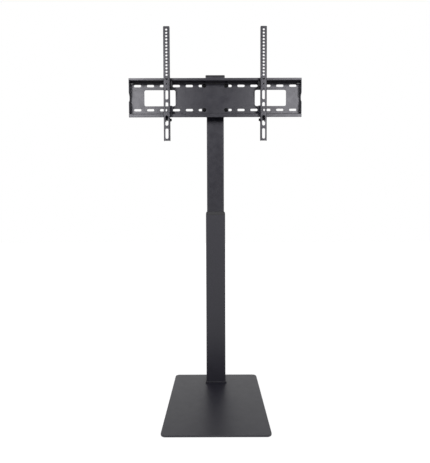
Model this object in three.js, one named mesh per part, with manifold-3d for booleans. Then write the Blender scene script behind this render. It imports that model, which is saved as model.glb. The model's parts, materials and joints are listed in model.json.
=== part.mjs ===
// TV floor stand: steel base plate, two-stage rectangular column, folded rail and two tilting screen arms.
// Millimetres. X is to the right, Y goes back from the screen, Z is up; the origin is the base centre on the floor.
import * as THREE from 'three';
import { mergeVertices } from 'three/addons/utils/BufferGeometryUtils.js';
import Module from 'manifold-3d';

const wasm = await Module();
wasm.setup();

// Clearances and the fineness of curves
const slipGap = 0.3;
const cutOverrun = 3;
const seamOverlap = 0.5;
const bendSteps = 3;
const cornerSteps = 3;
const edgeSteps = 1;
const holeSides = 12;
const boltSides = 12;
const roundSides = 24;
const starLobeSteps = 8;
const knobLobeSteps = 3;
const fluteSteps = 2;
const mergeDistance = 0.0001;

// Base plate and its pads
const baseWidth = 338;
const baseDepth = 457;
const baseThickness = 6;
const baseCornerRadius = 16;
const baseEdgeRound = 0.9;
const padDiameter = 30;
const padThickness = 3;
const padInset = 34;
const padEdgeRound = 0.8;

// Lower tube, its welded foot flange and the screws that hold it down
const columnSetback = 82.2;
const lowerTubeWidth = 76;
const lowerTubeDepth = 50;
const lowerTubeWall = 2.5;
const lowerTubeCornerRadius = 4;
const lowerTubeTopZ = 681;
const footPlateMargin = 4;
const footPlateThickness = 5;
const footPlateCornerRadius = 3;
const baseScrewRadius = 4;
const baseScrewHeadRadius = 7.6;
const baseScrewHeadHeight = 3.6;
const baseScrewRimHeight = 0.6;
const baseScrewTipHeight = 3;
const baseScrewTipTaper = 1;
const baseScrewSpacingX = 46;
const baseScrewSpacingY = 22;

// Gap between the two tubes, the plastic collar and the shoe that fill it
const tubeGap = 2;
const collarShoulderHeight = 13;
const collarShoulderInset = 3.3;
const collarShoulderSteps = 5;
const collarSkirtLength = 40;
const shoeSleeveLength = 22;
const shoeFloorThickness = 3;
const shoeFloorLedge = 4;

// Upper tube
const upperTubeWall = 2;
const upperTubeTopZ = 1218.9;
const upperTubeBottomZ = 400;
const capLidThickness = 5.3;
const capLidOverhang = 0.4;
const capPlugLength = 12;
const capPlugWall = 2.4;
const capEdgeRound = 1;
const capCornerRadius = 5;

// Height lock on the back of the lower tube
const lockDropFromTubeTop = 69;
const lockPadRadius = 5;
const lockPadThickness = 3;
const lockNutRadius = 11;
const lockNutLength = 9;
const lockNutChamfer = 1;
const lockNutPocketDepth = 4.5;
const lockStudRadius = 4;
const lockKnobGap = 1;
const lockHubRadius = 9;
const lockHubLength = 5;
const lockGripRadius = 19;
const lockGripLobeHeight = 2.2;
const lockGripLobes = 6;
const lockGripLength = 14;
const lockGripEdgeRound = 1.5;
const lockStudEngagement = 12;

// Head channel round the upper tube, with its plate and cross bolts
const headWall = 3.5;
const headBendRadius = 1.5;
const headSideDepth = 38;
const headPlateThickness = 3;
const headPlateWidth = 104;
const headPlateCornerRadius = 5;
const headPlateBottomZ = 1072;
const headPlateTopZ = 1190;
const crossBoltRadius = 4;
const crossBoltHeadRadius = 6.6;
const crossBoltHeadLength = 5;
const crossBoltTipLength = 2.5;
const crossNutRadius = 7.5;
const crossNutLength = 6.5;
const crossBoltInsetZ = 26;

// Rail folded from sheet
const railLength = 660;
const railSheet = 2;
const railBendRadius = 1;
const railDepth = 27;
const railUpperFlangeZ = 1191.3;
const railLowerFlangeZ = 1067.4;
const railUpperLipTopZ = 1201.1;
const railLowerLipBottomZ = 1053.4;
const railEndReliefGap = 1.2;
const railEndLegLength = 12;
const railNotchMouth = 37.6;
const railNotchFloor = 17;
const railNotchDepth = 12;
const railNotchCornerRadius = 2;

// Slots and windows in the rail
const railSlotPitch = 50.25;
const railSlotEndMargin = 28;
const railSlotLength = 28;
const railSlotWidth = 9.2;
const railUpperSlotZ = 1181.1;
const railLowerSlotZ = 1088.7;
const windowWidth = 121;
const windowHeight = 62;
const windowCornerRadius = 7;
const windowCentreX = 214.7;
const windowCentreZ = 1134.6;

// Screws that hold the rail on the head plate
const railBoltSpacingX = 84;
const railBoltRadius = 3;
const railBoltHeadRadius = 6;
const railBoltHeadHeight = 3.5;
const railBoltHeadSteps = 4;
const railBoltTipLength = 3;
const railWasherRadius = 7;
const railWasherThickness = 1.2;

// Screen arms
const armCentreX = 181.5;
const armStandoff = 28;
const armWidth = 24;
const armSheet = 2;
const armBendRadius = 1;
const armFlangeDepth = 10;
const armTopZ = 1380.2;
const armBottomZ = 958;
const armCornerRadius = 3;
const armHoleRadius = 3.9;
const armHolePitch = 11.85;
const armHoleRun = 15;
const armTopMargin = 12.3;
const armLastHoleDrop = 14.4;
const armRivetHoleRadius = 2.4;
const armRivetHoleDrop = 19;
const armRivetHoles = 2;
const armSlotWidth = 11;
const armSlotLength = 38.6;
const armSlotBridge = 10;
const armSlotsLong = 3;
const armBottomMargin = 7.5;
const armShortSlotLength = 34;
const armLugRadius = 9;

// Hook brackets behind the arms
const bracketSheet = 2.5;
const bracketBendRadius = 0.5;
const bracketSideGap = 0.4;
const bracketFrontSetback = 6;
const bracketLowerSetback = 21;
const hookSeatGap = 0.4;
const hookToothDepth = 5.5;
const hookToothDrop = 3.6;
const hookThickness = 5.5;
const hookCrownReach = 4;
const hookShoulderDrop = 9.5;
const earWallGap = 0.3;
const upperEarHeight = 21.5;
const upperEarFlangeGap = 3.3;
const bracketWaistSetback = 24;
const pivotLobeReach = 13;
const pivotLobeDrop = 15;
const bracketWebRise = 11;
const lowerEarHeight = 26;
const lowerEarFlangeGap = 2.6;
const latchLiftClearance = 4.2;
const latchPlateRearSetback = 41;
const bracketBottomZ = 1038;
const bracketWebBottomZ = 1149;
const lowerWebTopZ = 1062;
const lowerWebBottomZ = 1040;
const stayTabReach = 18.4;
const stayTabSetback = 25;
const stayTabCornerRadius = 3;
const bracketCornerRadius = 4;
const bracketInnerRadius = 4;
const bracketEdgeRadius = 1;

// Tilt pivot with its washer and knob
const pivotSetback = 20;
const pivotZ = 1169;
const pivotBoltRadius = 4;
const pivotHeadRadius = 6.5;
const pivotHeadThickness = 2;
const tiltWasherThickness = 1.2;
const tiltWasherRadius = 9;
const tiltKnobRadius = 15.2;
const tiltKnobLobeHeight = 0.8;
const tiltKnobLobes = 12;
const tiltKnobLength = 5.4;
const tiltKnobCapThickness = 2;
const tiltKnobEdgeRound = 1.2;

// Safety latch under the rail
const latchPivotSetback = 34.3;
const latchPivotZ = 1045;
const latchShaftRadius = 2.5;
const latchFingerWidth = 7;
const latchFingerTipZ = 1064;
const latchFingerThickness = 10;
const latchHeadRadius = 5;
const latchHeadLength = 4.4;
const latchHeadFlutes = 12;
const latchHeadFluteHeight = 0.35;
const latchClipRadius = 4.5;
const latchClipThickness = 1;
const latchGrooveDepth = 0.6;
const latchShaftEndLength = 1.5;

// Heights and depths that follow from the sizes above
const baseTopZ = padThickness + baseThickness;
const footPlateTopZ = baseTopZ + footPlateThickness;
const columnFrontY = baseDepth / 2 - columnSetback;
const columnCentreY = columnFrontY + lowerTubeDepth / 2;
const columnRearY = columnFrontY + lowerTubeDepth;
const lowerInnerWidth = lowerTubeWidth - 2 * lowerTubeWall;
const lowerInnerDepth = lowerTubeDepth - 2 * lowerTubeWall;
const lowerInnerRadius = lowerTubeCornerRadius - lowerTubeWall;
const upperTubeWidth = lowerInnerWidth - 2 * tubeGap;
const upperTubeDepth = lowerInnerDepth - 2 * tubeGap;
const upperTubeCornerRadius = lowerTubeCornerRadius;
const upperFrontY = columnCentreY - upperTubeDepth / 2;
const upperRearY = columnCentreY + upperTubeDepth / 2;
const headInnerY = upperFrontY - slipGap;
const headFrontY = headInnerY - headWall;
const headPlateFrontY = headFrontY - headPlateThickness;
const headOuterWidth = upperTubeWidth + 2 * (slipGap + headWall);
const railPlateRearY = headPlateFrontY;
const railPlateFrontY = railPlateRearY - railSheet;
const lipFrontY = railPlateFrontY - railDepth;
const lipRearY = lipFrontY + railSheet;
const armFrontY = lipFrontY - armStandoff;
const armWebRearY = armFrontY + armSheet;
const armFlangeRearY = armFrontY + armFlangeDepth;
const bracketOuterHalf = armWidth / 2 - armSheet - bracketSideGap;
const bracketInnerHalf = bracketOuterHalf - bracketSheet;
const pivotY = armFrontY + pivotSetback;
const latchPivotY = armFrontY + latchPivotSetback;
const lockHeightZ = lowerTubeTopZ - lockDropFromTubeTop;
const railSlotsPerSide = Math.floor((railLength / 2 - railSlotEndMargin) / railSlotPitch);

// Small tools that turn three.js geometry into closed solids

function solidOf(geometry) {
  const bare = geometry.index ? geometry.toNonIndexed() : geometry.clone();
  bare.deleteAttribute('normal');
  bare.deleteAttribute('uv');
  const merged = mergeVertices(bare, mergeDistance);
  const corners = merged.index.array;
  const kept = [];
  for (let i = 0; i < corners.length; i += 3) {
    const [a, b, c] = [corners[i], corners[i + 1], corners[i + 2]];
    if (a !== b && b !== c && c !== a) {
      kept.push(a, b, c);
    }
  }
  return new wasm.Manifold(new wasm.Mesh({
    numProp: 3,
    vertProperties: new Float32Array(merged.attributes.position.array),
    triVerts: new Uint32Array(kept),
  }));
}

function join(...solids) {
  return solids.reduce((whole, next) => whole.add(next));
}

function cut(solid, ...tools) {
  return tools.reduce((rest, tool) => rest.subtract(tool), solid);
}

function geometryOf(solid) {
  const mesh = solid.getMesh();
  const geometry = new THREE.BufferGeometry();
  geometry.setAttribute('position', new THREE.BufferAttribute(new Float32Array(mesh.vertProperties), 3));
  geometry.setIndex(new THREE.BufferAttribute(new Uint32Array(mesh.triVerts), 1));
  const faceted = geometry.toNonIndexed();
  faceted.computeVertexNormals();
  return faceted;
}

// Outlines: each corner is [across, up, radius]
function roundedShape(corners) {
  const points = [];
  const addPoint = (x, y) => {
    const last = points[points.length - 1];
    if (!last || Math.hypot(last.x - x, last.y - y) > slipGap / 100) {
      points.push(new THREE.Vector2(x, y));
    }
  };
  corners.forEach(([x, y, radius], i) => {
    const before = corners[(i + corners.length - 1) % corners.length];
    const after = corners[(i + 1) % corners.length];
    const back = new THREE.Vector2(before[0] - x, before[1] - y).normalize();
    const ahead = new THREE.Vector2(after[0] - x, after[1] - y).normalize();
    if (radius === 0) {
      addPoint(x, y);
      return;
    }
    const opening = Math.acos(THREE.MathUtils.clamp(back.dot(ahead), -1, 1));
    const reach = radius / Math.tan(opening / 2);
    const middle = back.clone().add(ahead).normalize().multiplyScalar(radius / Math.sin(opening / 2));
    const centre = new THREE.Vector2(x, y).add(middle);
    const start = new THREE.Vector2(x, y).addScaledVector(back, reach).sub(centre);
    const end = new THREE.Vector2(x, y).addScaledVector(ahead, reach).sub(centre);
    const sweep = Math.atan2(start.cross(end), start.dot(end));
    const steps = Math.max(2, Math.round(cornerSteps * Math.abs(sweep) / (Math.PI / 2)));
    for (let k = 0; k <= steps; k += 1) {
      const turned = start.clone().rotateAround(new THREE.Vector2(), sweep * k / steps);
      addPoint(centre.x + turned.x, centre.y + turned.y);
    }
  });
  const first = points[0];
  const last = points[points.length - 1];
  if (Math.hypot(first.x - last.x, first.y - last.y) < slipGap / 100) {
    points.pop();
  }
  return new THREE.Shape(points);
}

function rectangle(x0, y0, x1, y1, radius = 0) {
  return roundedShape([[x0, y0, radius], [x1, y0, radius], [x1, y1, radius], [x0, y1, radius]]);
}

function centredRectangle(centreX, centreY, width, height, radius = 0) {
  return rectangle(centreX - width / 2, centreY - height / 2, centreX + width / 2, centreY + height / 2, radius);
}

// Outline of a folded sheet that follows a path through its middle, with a round bend at each inner point
function foldedShape(path, thickness, bendRadius) {
  const half = thickness / 2;
  const stations = [];
  const unitTo = (from, to) => new THREE.Vector2(to[0] - from[0], to[1] - from[1]).normalize();
  const leftOf = (direction) => new THREE.Vector2(-direction.y, direction.x);
  path.forEach((point, i) => {
    const place = new THREE.Vector2(point[0], point[1]);
    if (i === 0 || i === path.length - 1) {
      const direction = i === 0 ? unitTo(point, path[1]) : unitTo(path[i - 1], point);
      stations.push({ place, direction });
      return;
    }
    const arriving = unitTo(path[i - 1], point);
    const leaving = unitTo(point, path[i + 1]);
    const turn = Math.atan2(arriving.cross(leaving), arriving.dot(leaving));
    const radius = (bendRadius + half) * Math.sign(turn);
    const reach = radius * Math.tan(turn / 2);
    const centre = place.addScaledVector(arriving, -reach).addScaledVector(leftOf(arriving), radius);
    for (let k = 0; k <= bendSteps; k += 1) {
      const direction = arriving.clone().rotateAround(new THREE.Vector2(), turn * k / bendSteps);
      stations.push({ place: centre.clone().addScaledVector(leftOf(direction), -radius), direction });
    }
  });
  const left = stations.map(({ place, direction }) => place.clone().addScaledVector(leftOf(direction), half));
  const right = stations.map(({ place, direction }) => place.clone().addScaledVector(leftOf(direction), -half));
  return new THREE.Shape([...left, ...right.reverse()]);
}

// Star or fluted outline round a centre
function lobedShape(centreX, centreY, radius, lobes, lobeHeight, stepsPerLobe) {
  const points = [];
  const steps = lobes * stepsPerLobe;
  for (let k = 0; k < steps; k += 1) {
    const angle = 2 * Math.PI * k / steps;
    const reach = radius + lobeHeight * Math.cos(lobes * angle);
    points.push(new THREE.Vector2(centreX + reach * Math.cos(angle), centreY + reach * Math.sin(angle)));
  }
  return new THREE.Shape(points);
}

function extruded(shape, height, edgeRound) {
  return new THREE.ExtrudeGeometry(shape, {
    depth: height - 2 * edgeRound,
    bevelEnabled: edgeRound > 0,
    bevelThickness: edgeRound,
    bevelSize: edgeRound,
    bevelOffset: -edgeRound,
    bevelSegments: edgeSteps,
    curveSegments: cornerSteps,
  }).translate(0, 0, edgeRound);
}

// Outline in X and Y, raised from z0 to z1
function extrudeUp(shape, z0, z1, edgeRound = 0) {
  return solidOf(extruded(shape, z1 - z0, edgeRound).translate(0, 0, z0));
}

// Outline in Y and Z, run across between two places on X
function extrudeAcross(shape, xA, xB, edgeRound = 0) {
  const turn = new THREE.Matrix4().makeBasis(
    new THREE.Vector3(0, 1, 0),
    new THREE.Vector3(0, 0, 1),
    new THREE.Vector3(1, 0, 0),
  );
  const geometry = extruded(shape, Math.abs(xB - xA), edgeRound).applyMatrix4(turn);
  return solidOf(geometry.translate(Math.min(xA, xB), 0, 0));
}

// Outline in X and Z, run back from yFront to yRear
function extrudeBack(shape, yFront, yRear, edgeRound = 0) {
  const geometry = extruded(shape, yRear - yFront, edgeRound).rotateX(Math.PI / 2);
  return solidOf(geometry.translate(0, yRear, 0));
}

// Turned solids: the profile is a list of [radius, place along the axis]
function turned(profile, sides) {
  const points = profile.map(([radius, along]) => new THREE.Vector2(radius, along));
  return new THREE.LatheGeometry(points, sides);
}

function turnedUp(profile, x, y, sides) {
  return solidOf(turned(profile, sides).rotateX(Math.PI / 2).translate(x, y, 0));
}

function turnedBack(profile, x, z, sides) {
  return solidOf(turned(profile, sides).translate(x, 0, z));
}

function turnedAcross(profile, y, z, sides) {
  return solidOf(turned(profile, sides).rotateZ(-Math.PI / 2).translate(0, y, z));
}

function rod(radius, from, to) {
  const low = Math.min(from, to);
  const high = Math.max(from, to);
  return [[0, low], [radius, low], [radius, high], [0, high]];
}

function ring(innerRadius, outerRadius, from, to) {
  const low = Math.min(from, to);
  const high = Math.max(from, to);
  return [[innerRadius, low], [outerRadius, low], [outerRadius, high], [innerRadius, high], [innerRadius, low]];
}

// Solid through rounded rectangles of changing size, stacked on the column's centre line
function stackedShoulder(levels, cornerRadius) {
  const rows = levels.map(({ z, width, depth }) => {
    const outline = centredRectangle(0, columnCentreY, width, depth, cornerRadius).getPoints();
    return outline.map((point) => [point.x, point.y, z]);
  });
  const count = rows[0].length;
  const positions = rows.flat(2);
  const faces = [];
  for (let row = 0; row < rows.length - 1; row += 1) {
    for (let k = 0; k < count; k += 1) {
      const a = row * count + k;
      const b = row * count + (k + 1) % count;
      faces.push(a, b, b + count, a, b + count, a + count);
    }
  }
  const top = (rows.length - 1) * count;
  for (let k = 1; k < count - 1; k += 1) {
    faces.push(0, k + 1, k);
    faces.push(top, top + k, top + k + 1);
  }
  const geometry = new THREE.BufferGeometry();
  geometry.setAttribute('position', new THREE.Float32BufferAttribute(positions, 3));
  geometry.setIndex(faces);
  return solidOf(geometry);
}

// A rectangular tube on the column's centre line
function columnTube(width, depth, wall, cornerRadius, z0, z1) {
  const outline = centredRectangle(0, columnCentreY, width, depth, cornerRadius);
  const innerRadius = Math.max(cornerRadius - wall, slipGap);
  outline.holes.push(centredRectangle(0, columnCentreY, width - 2 * wall, depth - 2 * wall, innerRadius));
  return extrudeUp(outline, z0, z1);
}

// Base plate, pads, flange and screws

function baseScrewPlaces() {
  const places = [];
  for (const x of [-baseScrewSpacingX / 2, baseScrewSpacingX / 2]) {
    for (const y of [columnCentreY - baseScrewSpacingY / 2, columnCentreY + baseScrewSpacingY / 2]) {
      places.push([x, y]);
    }
  }
  return places;
}

function basePlate() {
  const outline = centredRectangle(0, 0, baseWidth, baseDepth, baseCornerRadius);
  const plate = extrudeUp(outline, padThickness, baseTopZ, baseEdgeRound);
  const seatRadius = baseScrewHeadRadius + slipGap;
  const shankRadius = baseScrewRadius + slipGap;
  const seat = [
    [0, padThickness - cutOverrun],
    [seatRadius, padThickness - cutOverrun],
    [seatRadius, padThickness + baseScrewRimHeight],
    [shankRadius, padThickness + baseScrewHeadHeight],
    [shankRadius, baseTopZ + cutOverrun],
    [0, baseTopZ + cutOverrun],
  ];
  return cut(plate, ...baseScrewPlaces().map(([x, y]) => turnedUp(seat, x, y, boltSides)));
}

function footPad(sideX, sideY) {
  const profile = [
    [0, 0],
    [padDiameter / 2 - padEdgeRound, 0],
    [padDiameter / 2, padEdgeRound],
    [padDiameter / 2, padThickness],
    [0, padThickness],
  ];
  const x = sideX * (baseWidth / 2 - padInset);
  const y = sideY * (baseDepth / 2 - padInset);
  return turnedUp(profile, x, y, roundSides);
}

function columnFootPlate() {
  const width = lowerTubeWidth + 2 * footPlateMargin;
  const depth = lowerTubeDepth + 2 * footPlateMargin;
  const outline = centredRectangle(0, columnCentreY, width, depth, footPlateCornerRadius);
  const plate = extrudeUp(outline, baseTopZ, footPlateTopZ);
  const bore = rod(baseScrewRadius + slipGap, baseTopZ - cutOverrun, footPlateTopZ + cutOverrun);
  return cut(plate, ...baseScrewPlaces().map(([x, y]) => turnedUp(bore, x, y, boltSides)));
}

function baseScrews() {
  const tipZ = footPlateTopZ + baseScrewTipHeight;
  const profile = [
    [0, padThickness],
    [baseScrewHeadRadius, padThickness],
    [baseScrewHeadRadius, padThickness + baseScrewRimHeight],
    [baseScrewRadius, padThickness + baseScrewHeadHeight],
    [baseScrewRadius, tipZ - baseScrewTipTaper],
    [baseScrewRadius - baseScrewTipTaper, tipZ],
    [0, tipZ],
  ];
  return baseScrewPlaces().map(([x, y]) => turnedUp(profile, x, y, boltSides));
}

// Lower tube with the opening for the height lock

function lowerColumn() {
  const tube = columnTube(
    lowerTubeWidth, lowerTubeDepth, lowerTubeWall, lowerTubeCornerRadius, footPlateTopZ, lowerTubeTopZ,
  );
  const bore = rod(lockPadRadius + slipGap, columnRearY - lowerTubeWall - cutOverrun, columnRearY + cutOverrun);
  return cut(tube, turnedBack(bore, 0, lockHeightZ, boltSides));
}

function glideCollar() {
  const levels = [];
  for (let k = 0; k <= collarShoulderSteps; k += 1) {
    const angle = Math.PI / 2 * k / collarShoulderSteps;
    const inset = 2 * collarShoulderInset * (1 - Math.cos(angle));
    levels.push({
      z: lowerTubeTopZ + collarShoulderHeight * Math.sin(angle),
      width: lowerTubeWidth - inset,
      depth: lowerTubeDepth - inset,
    });
  }
  const shoulder = stackedShoulder(levels, lowerTubeCornerRadius);
  const skirtOutline = centredRectangle(
    0, columnCentreY, lowerInnerWidth - 2 * slipGap, lowerInnerDepth - 2 * slipGap, lowerInnerRadius,
  );
  const skirtBottomZ = lowerTubeTopZ - collarSkirtLength;
  const skirt = extrudeUp(skirtOutline, skirtBottomZ, lowerTubeTopZ + seamOverlap);
  const boreOutline = centredRectangle(
    0, columnCentreY, upperTubeWidth + 2 * slipGap, upperTubeDepth + 2 * slipGap, upperTubeCornerRadius,
  );
  const boreTopZ = lowerTubeTopZ + collarShoulderHeight + cutOverrun;
  return cut(join(shoulder, skirt), extrudeUp(boreOutline, skirtBottomZ - cutOverrun, boreTopZ));
}

// Height lock: welded nut, pad, stud and star knob

const lockPadFrontY = upperRearY + slipGap;
const lockPadRearY = lockPadFrontY + lockPadThickness;
const lockNutRearY = columnRearY + lockNutLength;
const lockHubFrontY = lockNutRearY + lockKnobGap;
const lockGripFrontY = lockHubFrontY + lockHubLength;
const lockGripRearY = lockGripFrontY + lockGripLength;

function heightLockNut() {
  const pocketRadius = lockPadRadius + slipGap;
  const boreRadius = lockStudRadius + slipGap;
  const pocketRearY = columnRearY + lockNutPocketDepth;
  const profile = [
    [pocketRadius, columnRearY],
    [lockNutRadius, columnRearY],
    [lockNutRadius, lockNutRearY - lockNutChamfer],
    [lockNutRadius - lockNutChamfer, lockNutRearY],
    [boreRadius, lockNutRearY],
    [boreRadius, pocketRearY],
    [pocketRadius, pocketRearY],
    [pocketRadius, columnRearY],
  ];
  return turnedBack(profile, 0, lockHeightZ, roundSides);
}

function heightLockPad() {
  return turnedBack(rod(lockPadRadius, lockPadFrontY, lockPadRearY), 0, lockHeightZ, boltSides);
}

function heightLockStud() {
  const tipY = lockPadRearY + slipGap;
  return turnedBack(rod(lockStudRadius, tipY, lockHubFrontY + lockStudEngagement), 0, lockHeightZ, boltSides);
}

function heightLockKnob() {
  const star = lobedShape(0, lockHeightZ, lockGripRadius, lockGripLobes, lockGripLobeHeight, starLobeSteps);
  const grip = extrudeBack(star, lockGripFrontY, lockGripRearY, lockGripEdgeRound);
  const hubProfile = rod(lockHubRadius, lockHubFrontY, lockGripFrontY + seamOverlap);
  const hub = turnedBack(hubProfile, 0, lockHeightZ, roundSides);
  const boreRearY = lockHubFrontY + lockStudEngagement + slipGap;
  const bore = rod(lockStudRadius + slipGap, lockHubFrontY - cutOverrun, boreRearY);
  return cut(join(grip, hub), turnedBack(bore, 0, lockHeightZ, boltSides));
}

// Upper tube, its shoe and its cap

function crossBoltHeights() {
  return [headPlateBottomZ + crossBoltInsetZ, headPlateTopZ - crossBoltInsetZ];
}

function crossBores() {
  const reach = headOuterWidth / 2 + cutOverrun;
  const bore = rod(crossBoltRadius + slipGap, -reach, reach);
  return crossBoltHeights().map((z) => turnedAcross(bore, columnCentreY, z, boltSides));
}

function upperColumn() {
  const tube = columnTube(
    upperTubeWidth, upperTubeDepth, upperTubeWall, upperTubeCornerRadius, upperTubeBottomZ, upperTubeTopZ,
  );
  return cut(tube, ...crossBores());
}

function upperColumnShoe() {
  const outerOutline = centredRectangle(
    0, columnCentreY, lowerInnerWidth - 2 * slipGap, lowerInnerDepth - 2 * slipGap, lowerInnerRadius,
  );
  const floorTopZ = upperTubeBottomZ - slipGap;
  const bottomZ = floorTopZ - shoeFloorThickness;
  const topZ = upperTubeBottomZ + shoeSleeveLength;
  const socketOutline = centredRectangle(
    0, columnCentreY, upperTubeWidth + 2 * slipGap, upperTubeDepth + 2 * slipGap, upperTubeCornerRadius,
  );
  const openingOutline = centredRectangle(
    0, columnCentreY, upperTubeWidth - 2 * shoeFloorLedge, upperTubeDepth - 2 * shoeFloorLedge,
    upperTubeCornerRadius,
  );
  return cut(
    extrudeUp(outerOutline, bottomZ, topZ),
    extrudeUp(socketOutline, floorTopZ, topZ + cutOverrun),
    extrudeUp(openingOutline, bottomZ - cutOverrun, topZ),
  );
}

function columnTopCap() {
  const lidHalf = headOuterWidth / 2 + capLidOverhang;
  const lidOutline = rectangle(
    -lidHalf, headFrontY - capLidOverhang, lidHalf, upperRearY + capLidOverhang, capCornerRadius,
  );
  const lid = extrudeUp(lidOutline, upperTubeTopZ, upperTubeTopZ + capLidThickness, capEdgeRound);
  const plugWidth = upperTubeWidth - 2 * (upperTubeWall + slipGap);
  const plugDepth = upperTubeDepth - 2 * (upperTubeWall + slipGap);
  const plugRadius = upperTubeCornerRadius - upperTubeWall;
  const plug = centredRectangle(0, columnCentreY, plugWidth, plugDepth, plugRadius);
  plug.holes.push(centredRectangle(
    0, columnCentreY, plugWidth - 2 * capPlugWall, plugDepth - 2 * capPlugWall, slipGap,
  ));
  return join(lid, extrudeUp(plug, upperTubeTopZ - capPlugLength, upperTubeTopZ + seamOverlap));
}

// Head channel with its plate, and the bolts across it

function railBoltPlaces() {
  const places = [];
  for (const x of [-railBoltSpacingX / 2, railBoltSpacingX / 2]) {
    for (const z of [railLowerSlotZ, railUpperSlotZ]) {
      places.push([x, z]);
    }
  }
  return places;
}

function headBracket() {
  const sideX = headOuterWidth / 2 - headWall / 2;
  const wallY = headFrontY + headWall / 2;
  const rearY = headFrontY + headSideDepth;
  const path = [[-sideX, rearY], [-sideX, wallY], [sideX, wallY], [sideX, rearY]];
  const channel = extrudeUp(foldedShape(path, headWall, headBendRadius), headPlateBottomZ, upperTubeTopZ);
  const plateCentreZ = (headPlateBottomZ + headPlateTopZ) / 2;
  const plateOutline = centredRectangle(
    0, plateCentreZ, headPlateWidth, headPlateTopZ - headPlateBottomZ, headPlateCornerRadius,
  );
  const plate = extrudeBack(plateOutline, headPlateFrontY, headFrontY + seamOverlap);
  const bore = rod(railBoltRadius + slipGap, headPlateFrontY - cutOverrun, headFrontY + headWall);
  const boltHoles = railBoltPlaces().map(([x, z]) => turnedBack(bore, x, z, boltSides));
  return cut(join(channel, plate), ...crossBores(), ...boltHoles);
}

function headCrossBolts() {
  const halfWidth = headOuterWidth / 2;
  const headStart = -halfWidth - slipGap;
  const tip = halfWidth + slipGap + crossNutLength + crossBoltTipLength;
  return crossBoltHeights().map((z) => {
    const shank = turnedAcross(rod(crossBoltRadius, headStart, tip), columnCentreY, z, boltSides);
    const head = turnedAcross(
      rod(crossBoltHeadRadius, headStart - crossBoltHeadLength, headStart), columnCentreY, z, boltSides,
    );
    return join(shank, head);
  });
}

function headCrossNuts() {
  const near = headOuterWidth / 2 + slipGap;
  const hexagonSides = 6;
  const block = rod(crossNutRadius, near, near + crossNutLength);
  const bore = rod(crossBoltRadius + slipGap, near - cutOverrun, near + crossNutLength + cutOverrun);
  return crossBoltHeights().map((z) => cut(
    turnedAcross(block, columnCentreY, z, hexagonSides),
    turnedAcross(bore, columnCentreY, z, boltSides),
  ));
}

// Rail: one folded profile, end walls folded from the same sheet, slots and windows

function railSlots() {
  const slots = [];
  for (let k = -railSlotsPerSide; k <= railSlotsPerSide; k += 1) {
    if (k !== 0) {
      for (const z of [railUpperSlotZ, railLowerSlotZ]) {
        slots.push(centredRectangle(k * railSlotPitch, z, railSlotLength, railSlotWidth, railSlotWidth / 2));
      }
    }
  }
  return slots;
}

function railWindows() {
  return [-windowCentreX, windowCentreX].map((x) => (
    centredRectangle(x, windowCentreZ, windowWidth, windowHeight, windowCornerRadius)
  ));
}

function railEndWall(side) {
  const wallX = side * (railLength / 2 - railSheet / 2);
  const plateY = railPlateFrontY + railSheet / 2;
  const legX = wallX - side * railEndLegLength;
  const bottomZ = railLowerFlangeZ + railEndReliefGap;
  const topZ = railUpperFlangeZ - railEndReliefGap;
  const fold = foldedShape([[wallX, lipFrontY], [wallX, plateY], [legX, plateY]], railSheet, railBendRadius);
  const wall = extrudeUp(fold, bottomZ, topZ);
  const middleZ = (bottomZ + topZ) / 2;
  const notch = roundedShape([
    [lipFrontY - cutOverrun, middleZ - railNotchMouth / 2, 0],
    [lipFrontY, middleZ - railNotchMouth / 2, 0],
    [lipFrontY + railNotchDepth, middleZ - railNotchFloor / 2, railNotchCornerRadius],
    [lipFrontY + railNotchDepth, middleZ + railNotchFloor / 2, railNotchCornerRadius],
    [lipFrontY, middleZ + railNotchMouth / 2, 0],
    [lipFrontY - cutOverrun, middleZ + railNotchMouth / 2, 0],
  ]);
  const wallInnerX = side * (railLength / 2 - railSheet - cutOverrun);
  return cut(wall, extrudeAcross(notch, wallInnerX, side * (railLength / 2 + cutOverrun)));
}

function railEndClearance(side) {
  const inner = side * (railLength / 2 - railEndLegLength);
  const outer = side * (railLength / 2 + cutOverrun);
  const outline = rectangle(
    Math.min(inner, outer), railLowerFlangeZ + slipGap, Math.max(inner, outer), railUpperFlangeZ - slipGap,
  );
  return extrudeBack(outline, lipFrontY, railPlateRearY + cutOverrun);
}

function mountRail() {
  const halfSheet = railSheet / 2;
  const lipY = lipFrontY + halfSheet;
  const plateY = railPlateFrontY + halfSheet;
  const upperZ = railUpperFlangeZ + halfSheet;
  const lowerZ = railLowerFlangeZ - halfSheet;
  const path = [
    [lipY, railUpperLipTopZ],
    [lipY, upperZ],
    [plateY, upperZ],
    [plateY, lowerZ],
    [lipY, lowerZ],
    [lipY, railLowerLipBottomZ],
  ];
  const profile = foldedShape(path, railSheet, railBendRadius);
  const sheet = extrudeAcross(profile, -railLength / 2, railLength / 2);
  const trimmed = cut(sheet, railEndClearance(-1), railEndClearance(1));
  const folded = join(trimmed, railEndWall(-1), railEndWall(1));
  const tools = [...railSlots(), ...railWindows()].map((outline) => (
    extrudeBack(outline, railPlateFrontY - cutOverrun, railPlateRearY + cutOverrun)
  ));
  return cut(folded, ...tools);
}

function railBolts() {
  const seatY = railPlateFrontY - railWasherThickness;
  const profile = [[0, seatY - railBoltHeadHeight]];
  for (let k = 1; k <= railBoltHeadSteps; k += 1) {
    const angle = Math.PI / 2 * k / railBoltHeadSteps;
    const rise = railBoltHeadHeight * Math.cos(angle);
    profile.push([railBoltHeadRadius * Math.sin(angle), seatY - rise]);
  }
  profile.push([railBoltRadius, seatY]);
  profile.push([railBoltRadius, headFrontY + railBoltTipLength]);
  profile.push([0, headFrontY + railBoltTipLength]);
  return railBoltPlaces().map(([x, z]) => turnedBack(profile, x, z, boltSides));
}

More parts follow.
